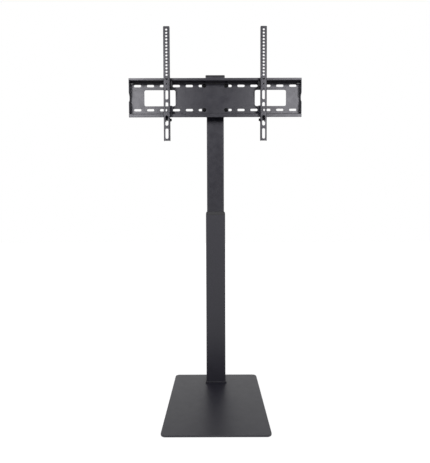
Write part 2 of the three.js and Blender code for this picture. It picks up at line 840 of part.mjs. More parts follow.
function railWashers() {
  const nearY = railPlateFrontY - railWasherThickness;
  const profile = ring(railBoltRadius + slipGap, railWasherRadius, nearY, railPlateFrontY);
  return railBoltPlaces().map(([x, z]) => turnedBack(profile, x, z, boltSides));
}

// Screen arm: a folded channel with round holes, slots and two lugs for the pivot

function armHoleHeights() {
  const heights = [];
  for (let k = 0; k < armHoleRun; k += 1) {
    heights.push(armTopZ - armTopMargin - k * armHolePitch);
  }
  heights.push(heights[armHoleRun - 1] - armLastHoleDrop);
  return heights;
}

function armSlotSpans() {
  const spans = [];
  let lower = armBottomZ + armBottomMargin;
  for (let k = 0; k < armSlotsLong; k += 1) {
    spans.push([lower, lower + armSlotLength]);
    lower += armSlotLength + armSlotBridge;
  }
  spans.push([lower, lower + armShortSlotLength]);
  return spans;
}

function vesaArm(side) {
  const centreX = side * armCentreX;
  const flangeX = armWidth / 2 - armSheet / 2;
  const webY = armFrontY + armSheet / 2;
  const path = [
    [centreX - flangeX, armFlangeRearY],
    [centreX - flangeX, webY],
    [centreX + flangeX, webY],
    [centreX + flangeX, armFlangeRearY],
  ];
  const channel = extrudeUp(foldedShape(path, armSheet, armBendRadius), armBottomZ, armTopZ);
  const frontOutline = rectangle(
    centreX - armWidth / 2, armBottomZ, centreX + armWidth / 2, armTopZ, armCornerRadius,
  );
  const trimmed = channel.intersect(extrudeBack(frontOutline, armFrontY - cutOverrun, armFlangeRearY + cutOverrun));
  const lugOutline = rectangle(
    armWebRearY, pivotZ - armLugRadius, pivotY + armLugRadius, pivotZ + armLugRadius, armLugRadius - slipGap,
  );
  const lugs = [-1, 1].map((hand) => (
    extrudeAcross(lugOutline, centreX + hand * (armWidth / 2 - armSheet), centreX + hand * armWidth / 2)
  ));
  const overY = [armFrontY - cutOverrun, armWebRearY + cutOverrun];
  const holeTool = rod(armHoleRadius, overY[0], overY[1]);
  const holes = armHoleHeights().map((z) => turnedBack(holeTool, centreX, z, holeSides));
  const rivetTool = rod(armRivetHoleRadius, overY[0], overY[1]);
  const lastHoleZ = armHoleHeights()[armHoleRun];
  const rivetHoles = [];
  for (let k = 1; k <= armRivetHoles; k += 1) {
    rivetHoles.push(turnedBack(rivetTool, centreX, lastHoleZ - k * armRivetHoleDrop, holeSides));
  }
  const slots = armSlotSpans().map(([low, high]) => extrudeBack(
    centredRectangle(centreX, (low + high) / 2, armSlotWidth, high - low, armSlotWidth / 2), overY[0], overY[1],
  ));
  const reach = armWidth / 2 + cutOverrun;
  const pivotTool = rod(pivotBoltRadius + slipGap, centreX - reach, centreX + reach);
  const pivotBore = turnedAcross(pivotTool, pivotY, pivotZ, boltSides);
  return cut(join(trimmed, ...lugs), ...holes, ...rivetHoles, ...slots, pivotBore);
}

// Hook bracket: a folded channel trimmed to the side outline that hangs on the rail

function bracketSideOutline() {
  const frontY = armFrontY + bracketFrontSetback;
  const hookSeatZ = railUpperLipTopZ + hookSeatGap;
  const hookTopZ = hookSeatZ + hookThickness;
  const hookFrontY = lipFrontY - hookSeatGap;
  const toothFrontY = lipRearY + hookSeatGap;
  const toothRearY = toothFrontY + hookToothDepth;
  const toothTipZ = railUpperLipTopZ - hookToothDrop;
  const earRearY = railPlateFrontY - earWallGap;
  const upperEarTopZ = railUpperFlangeZ - upperEarFlangeGap;
  const upperEarBottomZ = upperEarTopZ - upperEarHeight;
  const waistY = armFrontY + bracketWaistSetback;
  const lowerEarBottomZ = railLowerFlangeZ + lowerEarFlangeGap;
  const lowerEarTopZ = lowerEarBottomZ + lowerEarHeight;
  const latchTopZ = railLowerLipBottomZ - latchLiftClearance;
  const latchRearY = armFrontY + latchPlateRearSetback;
  return roundedShape([
    [frontY, hookTopZ - hookShoulderDrop, bracketCornerRadius],
    [hookFrontY - hookCrownReach, hookTopZ, bracketCornerRadius],
    [toothRearY, hookTopZ, bracketCornerRadius],
    [toothRearY, toothTipZ, bracketEdgeRadius],
    [toothFrontY, toothTipZ, bracketEdgeRadius],
    [toothFrontY, hookSeatZ, 0],
    [hookFrontY, hookSeatZ, 0],
    [hookFrontY, upperEarTopZ, bracketEdgeRadius],
    [earRearY, upperEarTopZ, bracketCornerRadius],
    [earRearY, upperEarBottomZ, bracketCornerRadius],
    [pivotY + pivotLobeReach, upperEarBottomZ, bracketInnerRadius],
    [pivotY + pivotLobeReach, pivotZ - pivotLobeDrop, bracketCornerRadius],
    [waistY, pivotZ - pivotLobeDrop, bracketInnerRadius],
    [waistY, lowerEarTopZ, bracketInnerRadius],
    [earRearY, lowerEarTopZ, bracketCornerRadius],
    [earRearY, lowerEarBottomZ, bracketCornerRadius],
    [hookFrontY, lowerEarBottomZ, bracketEdgeRadius],
    [hookFrontY, latchTopZ, bracketEdgeRadius],
    [latchRearY, latchTopZ, bracketCornerRadius],
    [latchRearY, bracketBottomZ, bracketCornerRadius],
    [armFrontY + bracketLowerSetback, bracketBottomZ, bracketEdgeRadius],
    [frontY, bracketWebBottomZ, 0],
  ]);
}

function hookBracket(side) {
  const centreX = side * armCentreX;
  const inward = (offset) => centreX - side * offset;
  const sideX = bracketOuterHalf - bracketSheet / 2;
  const webY = armFrontY + bracketFrontSetback + bracketSheet / 2;
  const rearY = railPlateFrontY;
  const path = [
    [centreX - sideX, rearY],
    [centreX - sideX, webY],
    [centreX + sideX, webY],
    [centreX + sideX, rearY],
  ];
  const hookTopZ = railUpperLipTopZ + hookSeatGap + hookThickness;
  const channel = extrudeUp(foldedShape(path, bracketSheet, bracketBendRadius), bracketBottomZ, hookTopZ);
  const reach = bracketOuterHalf + cutOverrun;
  const trimmed = channel.intersect(extrudeAcross(bracketSideOutline(), centreX - reach, centreX + reach));
  const webOpenings = [
    [bracketBottomZ - cutOverrun, bracketWebBottomZ],
    [pivotZ + bracketWebRise, hookTopZ + cutOverrun],
  ].map(([bottomZ, topZ]) => extrudeBack(
    rectangle(centreX - bracketInnerHalf, bottomZ, centreX + bracketInnerHalf, topZ),
    armFrontY,
    webY + bracketSheet / 2 + cutOverrun,
  ));
  const lowerWebY = armFrontY + bracketLowerSetback;
  const joinHalf = bracketInnerHalf + seamOverlap;
  const lowerWeb = extrudeBack(
    rectangle(centreX - joinHalf, lowerWebBottomZ, centreX + joinHalf, lowerWebTopZ),
    lowerWebY,
    lowerWebY + bracketSheet,
  );
  const tabEnds = [inward(bracketInnerHalf), inward(stayTabReach)];
  const tabBottomZ = railLowerFlangeZ + lowerEarFlangeGap;
  const outerEarEnds = [inward(0), inward(-reach)];
  const outerEar = extrudeBack(
    rectangle(Math.min(...outerEarEnds), tabBottomZ - lowerEarFlangeGap, Math.max(...outerEarEnds),
      tabBottomZ + lowerEarHeight + cutOverrun),
    armFrontY + bracketWaistSetback,
    rearY + cutOverrun,
  );
  const tabY = armFrontY + stayTabSetback;
  const stayTab = extrudeBack(
    rectangle(
      Math.min(...tabEnds), tabBottomZ, Math.max(...tabEnds), tabBottomZ + lowerEarHeight, stayTabCornerRadius,
    ),
    tabY,
    tabY + bracketSheet,
  );
  const pivotTool = rod(pivotBoltRadius + slipGap, centreX - reach, centreX + reach);
  const latchTool = rod(latchShaftRadius + slipGap, centreX - reach, centreX + reach);
  return cut(
    join(cut(trimmed, ...webOpenings, outerEar), lowerWeb, stayTab),
    turnedAcross(pivotTool, pivotY, pivotZ, boltSides),
    turnedAcross(latchTool, latchPivotY, latchPivotZ, boltSides),
  );
}

// Pivot bolt, washer and knob; distances run from the arm's centre towards the middle of the rail

const tiltWasherNear = armWidth / 2 + slipGap;
const tiltKnobNear = tiltWasherNear + tiltWasherThickness + slipGap;
const tiltKnobFar = tiltKnobNear + tiltKnobLength;
const pivotBoltFar = tiltKnobFar - tiltKnobCapThickness - slipGap;

function pivotBolt(side) {
  const inward = (offset) => side * (armCentreX - offset);
  const headNear = -armWidth / 2 - slipGap;
  const shank = turnedAcross(rod(pivotBoltRadius, inward(headNear), inward(pivotBoltFar)), pivotY, pivotZ, boltSides);
  const head = turnedAcross(
    rod(pivotHeadRadius, inward(headNear - pivotHeadThickness), inward(headNear)), pivotY, pivotZ, roundSides,
  );
  return join(shank, head);
}

function tiltWasher(side) {
  const inward = (offset) => side * (armCentreX - offset);
  const profile = ring(
    pivotBoltRadius + slipGap, tiltWasherRadius, inward(tiltWasherNear), inward(tiltWasherNear + tiltWasherThickness),
  );
  return turnedAcross(profile, pivotY, pivotZ, boltSides);
}

function tiltKnob(side) {
  const inward = (offset) => side * (armCentreX - offset);
  const outline = lobedShape(pivotY, pivotZ, tiltKnobRadius, tiltKnobLobes, tiltKnobLobeHeight, knobLobeSteps);
  const grip = extrudeAcross(outline, inward(tiltKnobNear), inward(tiltKnobFar), tiltKnobEdgeRound);
  const boreEnds = [inward(tiltKnobNear - cutOverrun), inward(pivotBoltFar + slipGap)];
  const bore = turnedAcross(rod(pivotBoltRadius + slipGap, ...boreEnds), pivotY, pivotZ, boltSides);
  return cut(grip, bore);
}

// Safety latch: a finger that stands up behind the lower lip, on a shaft with a fluted head and a clip

const latchHeadNear = bracketOuterHalf + slipGap;
const latchClipNear = -bracketOuterHalf - slipGap;
const latchShaftEnd = latchClipNear - latchClipThickness - latchShaftEndLength;

function safetyLatch(side) {
  const centreX = side * armCentreX;
  const halfWidth = latchFingerWidth / 2;
  const outline = rectangle(
    latchPivotY - halfWidth, latchPivotZ - halfWidth, latchPivotY + halfWidth, latchFingerTipZ, halfWidth - slipGap,
  );
  const finger = extrudeAcross(outline, centreX - latchFingerThickness / 2, centreX + latchFingerThickness / 2);
  const reach = latchFingerThickness / 2 + cutOverrun;
  const bore = rod(latchShaftRadius + slipGap, centreX - reach, centreX + reach);
  return cut(finger, turnedAcross(bore, latchPivotY, latchPivotZ, boltSides));
}

function latchShaft(side) {
  const inward = (offset) => side * (armCentreX - offset);
  const shaftEnds = [inward(latchShaftEnd), inward(latchHeadNear + seamOverlap)];
  const shaft = turnedAcross(rod(latchShaftRadius, ...shaftEnds), latchPivotY, latchPivotZ, boltSides);
  const outline = lobedShape(
    latchPivotY, latchPivotZ, latchHeadRadius - latchHeadFluteHeight, latchHeadFlutes, latchHeadFluteHeight,
    fluteSteps,
  );
  const head = extrudeAcross(outline, inward(latchHeadNear), inward(latchHeadNear + latchHeadLength));
  const grooveEnds = [inward(latchClipNear + slipGap / 2), inward(latchClipNear - latchClipThickness - slipGap / 2)];
  const grooveFloor = latchShaftRadius - latchGrooveDepth;
  const groove = turnedAcross(
    ring(grooveFloor, latchShaftRadius + cutOverrun, ...grooveEnds), latchPivotY, latchPivotZ, boltSides,
  );
  return cut(join(shaft, head), groove);
}

function latchClip(side) {
  const inward = (offset) => side * (armCentreX - offset);
  const clipEnds = [inward(latchClipNear), inward(latchClipNear - latchClipThickness)];
  const profile = ring(latchShaftRadius - latchGrooveDepth + slipGap / 2, latchClipRadius, ...clipEnds);
  return turnedAcross(profile, latchPivotY, latchPivotZ, boltSides);
}

// Finishes seen in the photo

const powderCoat = { color: 0x3a3a3d, roughness: 0.62, metalness: 0.25 };
const blackOxide = { color: 0x1c1c1e, roughness: 0.45, metalness: 0.8 };
const zincSteel = { color: 0x9a9c9e, roughness: 0.4, metalness: 0.9 };
const blackPlastic = { color: 0x18181a, roughness: 0.55, metalness: 0 };
const blackRubber = { color: 0x141415, roughness: 0.9, metalness: 0 };
const darkNylon = { color: 0x2a2a2a, roughness: 0.6, metalness: 0 };

const stand = new THREE.Group();

function addPiece(name, solid, finish) {
  const mesh = new THREE.Mesh(geometryOf(solid), new THREE.MeshStandardMaterial(finish));
  mesh.name = name;
  stand.add(mesh);
}

function addNumbered(name, solids, finish) {
  solids.forEach((solid, i) => addPiece(`${name}_${i + 1}`, solid, finish));
}

addPiece('base_plate', basePlate(), powderCoat);
addPiece('foot_pad_front_left', footPad(-1, -1), blackRubber);
addPiece('foot_pad_front_right', footPad(1, -1), blackRubber);
addPiece('foot_pad_rear_left', footPad(-1, 1), blackRubber);
addPiece('foot_pad_rear_right', footPad(1, 1), blackRubber);
addPiece('column_foot_plate', columnFootPlate(), powderCoat);
addNumbered('base_screw', baseScrews(), zincSteel);
addPiece('lower_column', lowerColumn(), powderCoat);
addPiece('glide_collar', glideCollar(), blackPlastic);
addPiece('height_lock_nut', heightLockNut(), powderCoat);
addPiece('height_lock_pad', heightLockPad(), darkNylon);
addPiece('height_lock_stud', heightLockStud(), zincSteel);
addPiece('height_lock_knob', heightLockKnob(), blackPlastic);
addPiece('upper_column', upperColumn(), powderCoat);
addPiece('upper_column_shoe', upperColumnShoe(), blackPlastic);
addPiece('column_top_cap', columnTopCap(), blackPlastic);
addPiece('head_bracket', headBracket(), powderCoat);
addNumbered('head_cross_bolt', headCrossBolts(), blackOxide);
addNumbered('head_cross_nut', headCrossNuts(), blackOxide);
addPiece('mount_rail', mountRail(), powderCoat);
addNumbered('rail_bolt', railBolts(), blackOxide);
addNumbered('rail_washer', railWashers(), blackOxide);

for (const [word, side] of [['left', -1], ['right', 1]]) {
  addPiece(`${word}_vesa_arm`, vesaArm(side), powderCoat);
  addPiece(`${word}_hook_bracket`, hookBracket(side), powderCoat);
  addPiece(`${word}_pivot_bolt`, pivotBolt(side), blackOxide);
  addPiece(`${word}_tilt_washer`, tiltWasher(side), darkNylon);
  addPiece(`${word}_tilt_knob`, tiltKnob(side), blackPlastic);
  addPiece(`${word}_safety_latch`, safetyLatch(side), blackOxide);
  addPiece(`${word}_latch_shaft`, latchShaft(side), blackOxide);
  addPiece(`${word}_latch_clip`, latchClip(side), blackOxide);
}

export default stand;
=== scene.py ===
"""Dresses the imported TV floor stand: steel base, two-stage column, folded rail and tilting screen arms.

Every length is in metres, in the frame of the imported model: X to the right, Y back from the screen, Z up.
"""

import json
from math import cos, pi, radians, sin, sqrt

import bmesh
import bpy
from bpy.props import FloatProperty, FloatVectorProperty, IntProperty, PointerProperty
from bpy.types import Operator, Panel, PropertyGroup
from mathutils import Matrix, Vector


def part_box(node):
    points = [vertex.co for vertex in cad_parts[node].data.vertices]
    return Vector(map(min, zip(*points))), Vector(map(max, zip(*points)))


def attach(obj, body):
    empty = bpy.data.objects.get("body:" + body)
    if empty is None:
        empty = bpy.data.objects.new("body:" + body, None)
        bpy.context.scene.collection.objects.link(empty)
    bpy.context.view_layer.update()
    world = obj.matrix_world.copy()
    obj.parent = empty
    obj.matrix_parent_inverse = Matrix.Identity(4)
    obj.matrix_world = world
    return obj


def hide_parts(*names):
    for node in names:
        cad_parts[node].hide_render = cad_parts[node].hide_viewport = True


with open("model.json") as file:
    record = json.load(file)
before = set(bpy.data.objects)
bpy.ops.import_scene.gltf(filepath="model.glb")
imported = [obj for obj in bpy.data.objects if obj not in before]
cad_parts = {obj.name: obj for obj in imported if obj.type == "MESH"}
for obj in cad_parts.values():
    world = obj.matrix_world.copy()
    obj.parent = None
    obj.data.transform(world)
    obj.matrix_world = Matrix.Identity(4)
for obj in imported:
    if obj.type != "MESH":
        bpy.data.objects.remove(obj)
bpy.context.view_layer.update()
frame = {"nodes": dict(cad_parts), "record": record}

bl_info = {
    "name": "TV Floor Stand",
    "version": (1, 0, 0),
    "blender": (4, 5, 0),
    "location": "View3D > Sidebar > TV Stand",
    "description": "Shapes and finishes of a free-standing screen stand with a slotted rail and tilting arms",
    "category": "Object",
}

MM = 0.001
X, Y, Z = range(3)
# Points nearer than these are merged, or count as being at the same place
MERGE_REACH = MM / 500
PACKED_MERGE_REACH = MM / 200
SAME_PLACE = MM / 100
SHARP_ANGLE = radians(35)
SCREW_NUMBERS = (1, 2, 3, 4)
LOCK_POCKET_RADIUS = 5.3 * MM

# Ways in which a flat drawing lies in the stand: where its x, y and z point
LYING = Matrix.Identity(4)
FACING_FRONT = Matrix(((1, 0, 0, 0), (0, 0, -1, 0), (0, 1, 0, 0), (0, 0, 0, 1)))
FACING_BACK = Matrix(((-1, 0, 0, 0), (0, 0, 1, 0), (0, 1, 0, 0), (0, 0, 0, 1)))
FACING_RIGHT = Matrix(((0, 0, 1, 0), (1, 0, 0, 0), (0, 1, 0, 0), (0, 0, 0, 1)))
FACING_LEFT = Matrix(((0, 0, -1, 0), (-1, 0, 0, 0), (0, 1, 0, 0), (0, 0, 0, 1)))
FACING_DOWN = Matrix(((1, 0, 0, 0), (0, -1, 0, 0), (0, 0, -1, 0), (0, 0, 0, 1)))
# Each side's name, its sign along X, and the ways out of the stand and into it
SIDES = (("left", -1, FACING_LEFT, FACING_RIGHT), ("right", 1, FACING_RIGHT, FACING_LEFT))


def mm(*millimetres):
    """Lengths in metres."""
    return [length * MM for length in millimetres]


def linear(hex_colour):
    """An sRGB hex colour as linear red, green, blue and one."""
    shares = [int(hex_colour[i:i + 2], 16) / 255 for i in (1, 3, 5)]
    return tuple(s / 12.92 if s <= 0.04045 else ((s + 0.055) / 1.055) ** 2.4 for s in shares) + (1.0,)


def colour_setting(name, description, hex_colour):
    return FloatVectorProperty(
        name=name, description=description, subtype="COLOR", size=4, min=0, max=1, default=linear(hex_colour)
    )


def length_setting(name, description, millimetres):
    return FloatProperty(name=name, description=description, default=millimetres * MM, min=0, unit="LENGTH")


class StandColours(PropertyGroup):
    """Colours of the stand's finishes and of the stage."""

    powder_coat: colour_setting("Powder coat", "Black powder coat on the steel parts", "#16151E")
    black_oxide: colour_setting("Black oxide", "Blackened steel of screws and bolts", "#161616")
    zinc: colour_setting("Zinc", "Bright zinc plate of the hidden screws", "#A9ABAD")
    plastic: colour_setting("Plastic", "Black moulded plastic of knobs, collar and cap", "#0E0E10")
    nylon: colour_setting("Nylon", "Dark nylon of the tilt washers and the lock pad", "#232323")
    rubber: colour_setting("Rubber", "Black rubber of the foot pads", "#151515")
    floor: colour_setting("Floor", "Pale floor under the stand", "#F2F2F2")


class StandSizes(PropertyGroup):
    """Sizes that aren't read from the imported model."""

    edge_break: length_setting("Edge break", "Rounding left by the coat on a cut edge", 0.35)
    base_corner: length_setting("Base corner", "Corner radius of the base plate", 16)
    base_edge: length_setting("Base edge", "Rounding along the base plate's rim", 1.2)
    tube_corner: length_setting("Tube corner", "Corner radius of both column tubes", 4)
    lower_wall: length_setting("Lower tube wall", "Wall of the lower tube", 2.5)
    upper_wall: length_setting("Upper tube wall", "Wall of the upper tube", 2)
    weld_leg: length_setting("Weld leg", "Leg of the weld bead round the column's foot", 2.6)
    rail_sheet: length_setting("Rail sheet", "Sheet thickness of the rail", 2)
    rail_inset: length_setting("Rail end leg", "Flat leg between the rail's end wall and its plate", 12)
    slot_pitch: length_setting("Slot pitch", "Distance between the rail's slots", 50.25)
    slot_length: length_setting("Slot length", "Length of a rail slot", 28)
    slot_width: length_setting("Slot width", "Width of a rail slot", 9.2)
    window_width: length_setting("Window width", "Width of a cable window", 121)
    window_height: length_setting("Window height", "Height of a cable window", 62)
    window_corner: length_setting("Window corner", "Corner radius of a cable window", 7)
    arm_sheet: length_setting("Arm sheet", "Sheet thickness of the arms", 2)
    arm_hole: length_setting("Arm hole", "Radius of the arm's round holes", 3.9)
    arm_pitch: length_setting("Arm hole pitch", "Distance between the arm's round holes", 11.85)
    arm_slot: length_setting("Arm slot width", "Width of the arm's slots", 11)


class StandFineness(PropertyGroup):
    """How finely curves are divided."""

    hole: IntProperty(name="Hole", description="Sides of a punched hole", default=28, min=12, max=96)
    turned: IntProperty(name="Turned part", description="Sides of a turned part", default=48, min=12, max=128)
    bend: IntProperty(name="Bend", description="Steps in a fold", default=6, min=2, max=24)
    corner: IntProperty(name="Corner", description="Steps in a rounded corner", default=8, min=2, max=32)


def sizes():
    return bpy.context.scene.stand_sizes


def fineness():
    return bpy.context.scene.stand_fineness


def colours():
    return bpy.context.scene.stand_colours


# Finishes

def empty_tree(owner):
    """Turns on the nodes of a material or a world and clears them."""
    owner.use_nodes = True
    owner.node_tree.nodes.clear()
    return owner.node_tree


def add_node(tree, kind, links=None, **settings):
    """Adds a node, sets its inputs and settings by name, and links its inputs to the given outputs."""
    node = tree.nodes.new("ShaderNode" + kind)
    for name, value in settings.items():
        socket = name.replace("_", " ").title()
        if socket in node.inputs:
            node.inputs[socket].default_value = value
        else:
            setattr(node, name, value)
    for name, output in (links or {}).items():
        tree.links.new(output, node.inputs[name])
    return node


def drifting_value(tree, place, patch_size, low, high):
    """A value that drifts between low and high over patches of patch_size millimetres."""
    noise = add_node(tree, "TexNoise", {"Vector": place}, scale=1 / (patch_size * MM), detail=2)
    return add_node(
        tree, "MapRange", {"Value": noise.outputs["Fac"]}, from_min=0.3, from_max=0.7, to_min=low,
        to_max=high,
    ).outputs["Result"]


def finish(name, colour, shade, shine, grain, **steady):
    """A material made once, whose colour and roughness drift a little and whose surface has a fine grain.

    colour names a setting; shade is the size of its patches and their lightness; shine is the size of its
    patches, the least and the most roughness; grain is the spacing, depth and strength of its bumps, and steady
    holds what is the same all over. Sizes, spacing and depth are in millimetres.
    """
    material = bpy.data.materials.get(name)
    if material:
        return material
    material = bpy.data.materials.new(name)
    tree = empty_tree(material)
    place = add_node(tree, "TexCoord").outputs["Object"]
    patch_size, lightness = shade
    base = getattr(colours(), colour)[:]
    mix = add_node(
        tree, "Mix", {"Factor": drifting_value(tree, place, patch_size, 0, 1)}, data_type="RGBA",
        a=base, b=tuple(c * lightness for c in base[:3]) + (1,),
    )
    spacing, depth, strength = grain
    noise = add_node(tree, "TexNoise", {"Vector": place}, scale=1 / (spacing * MM), detail=2, roughness=0.6)
    bump = add_node(tree, "Bump", {"Height": noise.outputs["Fac"]}, strength=strength, distance=depth * MM)
    shader = add_node(tree, "BsdfPrincipled", {
        "Base Color": mix.outputs["Result"], "Roughness": drifting_value(tree, place, *shine),
        "Normal": bump.outputs["Normal"],
    })
    for socket, value in steady.items():
        shader.inputs[socket].default_value = value
    add_node(tree, "OutputMaterial", {"Surface": shader.outputs["BSDF"]})
    return material


# Finishes of the material slots, with their lengths in millimetres
FINISHES = {
    # Satin black powder coat on the folded rail, arms and brackets: a soft shine that follows the folds.
    # The real grain is about 0.3 mm; it is drawn at 0.8 mm, so that it shows in a close view.
    "powder_coat": dict(
        name="powder_coated_steel", colour="powder_coat", shade=(35, 1.12), shine=(22, 0.28, 0.33),
        grain=(0.8, 0.06, 0.35), IOR=1.5,
    ),
    # Blackened machined steel: dark, a little oily, with a tighter shine than the coat
    "black_oxide": dict(
        name="black_oxide_steel", colour="black_oxide", shade=(3, 1.4), shine=(2, 0.32, 0.46),
        grain=(0.4, 0.02, 0.2), Metallic=1,
    ),
    # Bright zinc plate over rolled threads: pale metal with a faint cloudiness
    "zinc_steel": dict(
        name="zinc_plated_steel", colour="zinc", shade=(4, 0.85), shine=(2, 0.25, 0.4),
        grain=(0.5, 0.02, 0.15), Metallic=1,
    ),
    # Black moulded ABS with a spark-eroded grain: matt, with soft broad highlights.
    # Spark erosion leaves pits of about 0.1 mm; they are drawn at 0.5 mm to show.
    "black_plastic": dict(
        name="moulded_black_plastic", colour="plastic", shade=(12, 1.1), shine=(9, 0.62, 0.7),
        grain=(0.5, 0.04, 0.3), IOR=1.53,
    ),
    # Dark moulded nylon: smooth and slightly waxy
    "dark_nylon": dict(
        name="moulded_dark_nylon", colour="nylon", shade=(6, 1.15), shine=(5, 0.4, 0.5),
        grain=(1, 0.02, 0.15), IOR=1.53,
    ),
    # Matt black rubber: almost no shine, with a dusty mottle
    "rubber": dict(
        name="moulded_rubber", colour="rubber", shade=(3, 1.5), shine=(4, 0.8, 0.92),
        grain=(0.6, 0.05, 0.3), IOR=1.52,
    ),
}
# Duller black powder coat on the base and column: the same black and grain, with a broader shine
HEAVY_COAT = dict(FINISHES["powder_coat"], name="powder_coated_heavy_steel", shine=(22, 0.39, 0.43))
HEAVY_NODES = ("base_plate", "column_foot_plate", "lower_column", "height_lock_nut")
NODE_SLOTS = {part["node"]: part["material_slot"] for part in frame["record"]["subparts"]}
NODE_BODIES = {node: body for body, nodes in frame["record"]["behaviour"]["bodies"].items() for node in nodes}


def finish_of(node):
    return finish(**(HEAVY_COAT if node in HEAVY_NODES else FINISHES[NODE_SLOTS[node]]))


# Steps shared by the pieces

def join_flat_faces(bm, verts=(), degrees=0.5):
    """Joins the thin triangles of flat faces, because a rounding would turn them over."""
    bmesh.ops.dissolve_limit(bm, angle_limit=radians(degrees), verts=verts, edges=bm.edges)


def bevel(bm, geom, width, steps, affect="VERTICES"):
    """Rounds the corners of flat faces, or edges if affect says so."""
    bmesh.ops.bevel(
        bm, geom=geom, offset=width, offset_type="OFFSET", segments=steps, profile=0.5, affect=affect,
        material=-1,
    )


def round_rims(bm, edges, width, steps):
    """Rounds chosen runs of edges more than place_piece rounds the rest of the shape."""
    join_flat_faces(bm)
    bevel(bm, edges, width, steps, "EDGES")


def set_values(thing, **values):
    for name, value in values.items():
        setattr(thing, name, value)


def new_object(data):
    made = bpy.data.objects.new(data.name, data)
    bpy.context.scene.collection.objects.link(made)
    return made


def mesh_object(name, bm, material):
    mesh = bpy.data.meshes.new(name)
    bm.to_mesh(mesh)
    bm.free()
    mesh.materials.append(material)
    return new_object(mesh)


def lay(bm, verts, lie, at):
    """Turns and moves what was drawn flat to where it belongs."""
    bmesh.ops.transform(bm, matrix=Matrix.Translation(at) @ lie, verts=verts)


def place_piece(name, bm, node, lie=LYING, at=(0, 0, 0), sheet=0.0, edge=None, edge_steps=2):
    """Makes a shape a piece that stands for a node: places it, thickens it if it is sheet, rounds its edges."""
    lay(bm, bm.verts, lie, at)
    bmesh.ops.remove_doubles(bm, verts=bm.verts, dist=MERGE_REACH)
    bmesh.ops.recalc_face_normals(bm, faces=bm.faces)
    join_flat_faces(bm)
    piece = mesh_object(name, bm, finish_of(node))
    piece.data.shade_smooth()
    if sheet:
        set_values(piece.modifiers.new("sheet", "SOLIDIFY"), thickness=sheet, offset=0, use_even_offset=True)
    width = sizes().edge_break if edge is None else edge
    if width:
        set_values(
            piece.modifiers.new("edges", "BEVEL"), width=width, segments=edge_steps, limit_method="ANGLE",
            angle_limit=SHARP_ANGLE, use_clamp_overlap=False,
        )
    set_values(piece.modifiers.new("shading", "WEIGHTED_NORMAL"), mode="FACE_AREA", weight=50)
    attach(piece, NODE_BODIES[node])
    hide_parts(node)


def lies_at(item, axis, place):
    """Whether an edge or a face lies wholly at one place along an axis."""
    return all(abs(v.co[axis] - place) < SAME_PLACE for v in item.verts)


def each_once(items):
    """A list without repeats that keeps its order, so that every run gives the same mesh."""
    return list(dict.fromkeys(items))


def ends_of(edges):
    return each_once(v for e in edges for v in e.verts)


def new_verts(result):
    return [item for item in result if isinstance(item, bmesh.types.BMVert)]


def pull(bm, edges, by=(0, 0, 0), stretch=None, about=(0, 0, 0)):
    """Draws a run of edges out into faces and returns the run at the far side."""
    result = bmesh.ops.extrude_edge_only(bm, edges=edges)["geom"]
    verts = new_verts(result)
    bmesh.ops.translate(bm, vec=by, verts=verts)
    if stretch:
        bmesh.ops.scale(bm, vec=stretch, space=Matrix.Translation(-Vector(about)), verts=verts)
    far = set(verts)
    return [e for e in result if isinstance(e, bmesh.types.BMEdge) and e.verts[0] in far and e.verts[1] in far]


def close(bm, loop):
    """Closes a flat loop of edges with one face."""
    bmesh.ops.contextual_create(bm, geom=loop)


def fold(bm, edges, centre, axis, degrees):
    """Bends a sheet on round a centre from a run of edges and returns the run at the far side."""
    result = bmesh.ops.spin(
        bm, geom=ends_of(edges) + edges, cent=centre, axis=axis, angle=radians(degrees), steps=fineness().bend
    )["geom_last"]
    return [e for e in result if isinstance(e, bmesh.types.BMEdge)]


def flat_face(bm, width, height, centre=(0, 0, 0)):
    """Draws one flat rectangle and returns its corners."""
    matrix = Matrix.Translation(centre) @ Matrix.Diagonal((width, height, 1, 1))
    return bmesh.ops.create_grid(bm, x_segments=1, y_segments=1, size=0.5, matrix=matrix)["verts"]


def outline_loop(bm, x0, y0, x1, y1, radius, steps=None):
    """A closed rectangle of edges with rounded corners, lying flat."""
    centre = Vector(((x0 + x1) / 2, (y0 + y1) / 2, 0))
    corners = flat_face(bm, x1 - x0, y1 - y0, centre)
    face = corners[0].link_faces[0]
    if radius:
        bevel(bm, corners, radius, steps or fineness().corner)
        face = min(bm.faces, key=lambda f: (f.calc_center_bounds() - centre).length)
    edges = list(face.edges)
    bmesh.ops.delete(bm, geom=[face], context="FACES_ONLY")
    return edges


def round_loop(bm, x, y, radius, sides=None, z=0, turn=0.0):
    """A closed circle of edges, lying flat."""
    matrix = Matrix.Translation((x, y, z)) @ Matrix.Rotation(turn, 4, "Z")
    sides = sides or fineness().hole
    verts = bmesh.ops.create_circle(bm, radius=radius, segments=sides, matrix=matrix)["verts"]
    return each_once(e for v in verts for e in v.link_edges)


def slot_loop(bm, x, y, length, width, along=X):
    """A closed slot of edges: a circle whose halves are moved apart along an axis."""
    half_step = pi / fineness().hole
    edges = round_loop(bm, 0, 0, width / 2 / cos(half_step), turn=half_step)
    verts = ends_of(edges)
    shift = Vector((0, 0, 0))
    shift[along] = (length - width) / 2
    bmesh.ops.translate(bm, vec=shift, verts=[v for v in verts if v.co[along] > 0])
    bmesh.ops.translate(bm, vec=-shift, verts=[v for v in verts if v.co[along] < 0])
    bmesh.ops.translate(bm, vec=(x, y, 0), verts=verts)
    return edges


def polygon_loop(bm, points):
    """A closed run of straight edges through a few flat points."""
    verts = [bm.verts.new((x, y, 0)) for x, y in points]
    return [bm.edges.new((verts[i], verts[(i + 1) % len(verts)])) for i in range(len(verts))]


def fill(bm, edges):
    """Fills loops of edges with faces, leaving the inner loops open."""
    result = bmesh.ops.triangle_fill(bm, use_beauty=True, edges=edges)["geom"]
    return [item for item in result if isinstance(item, bmesh.types.BMFace)]


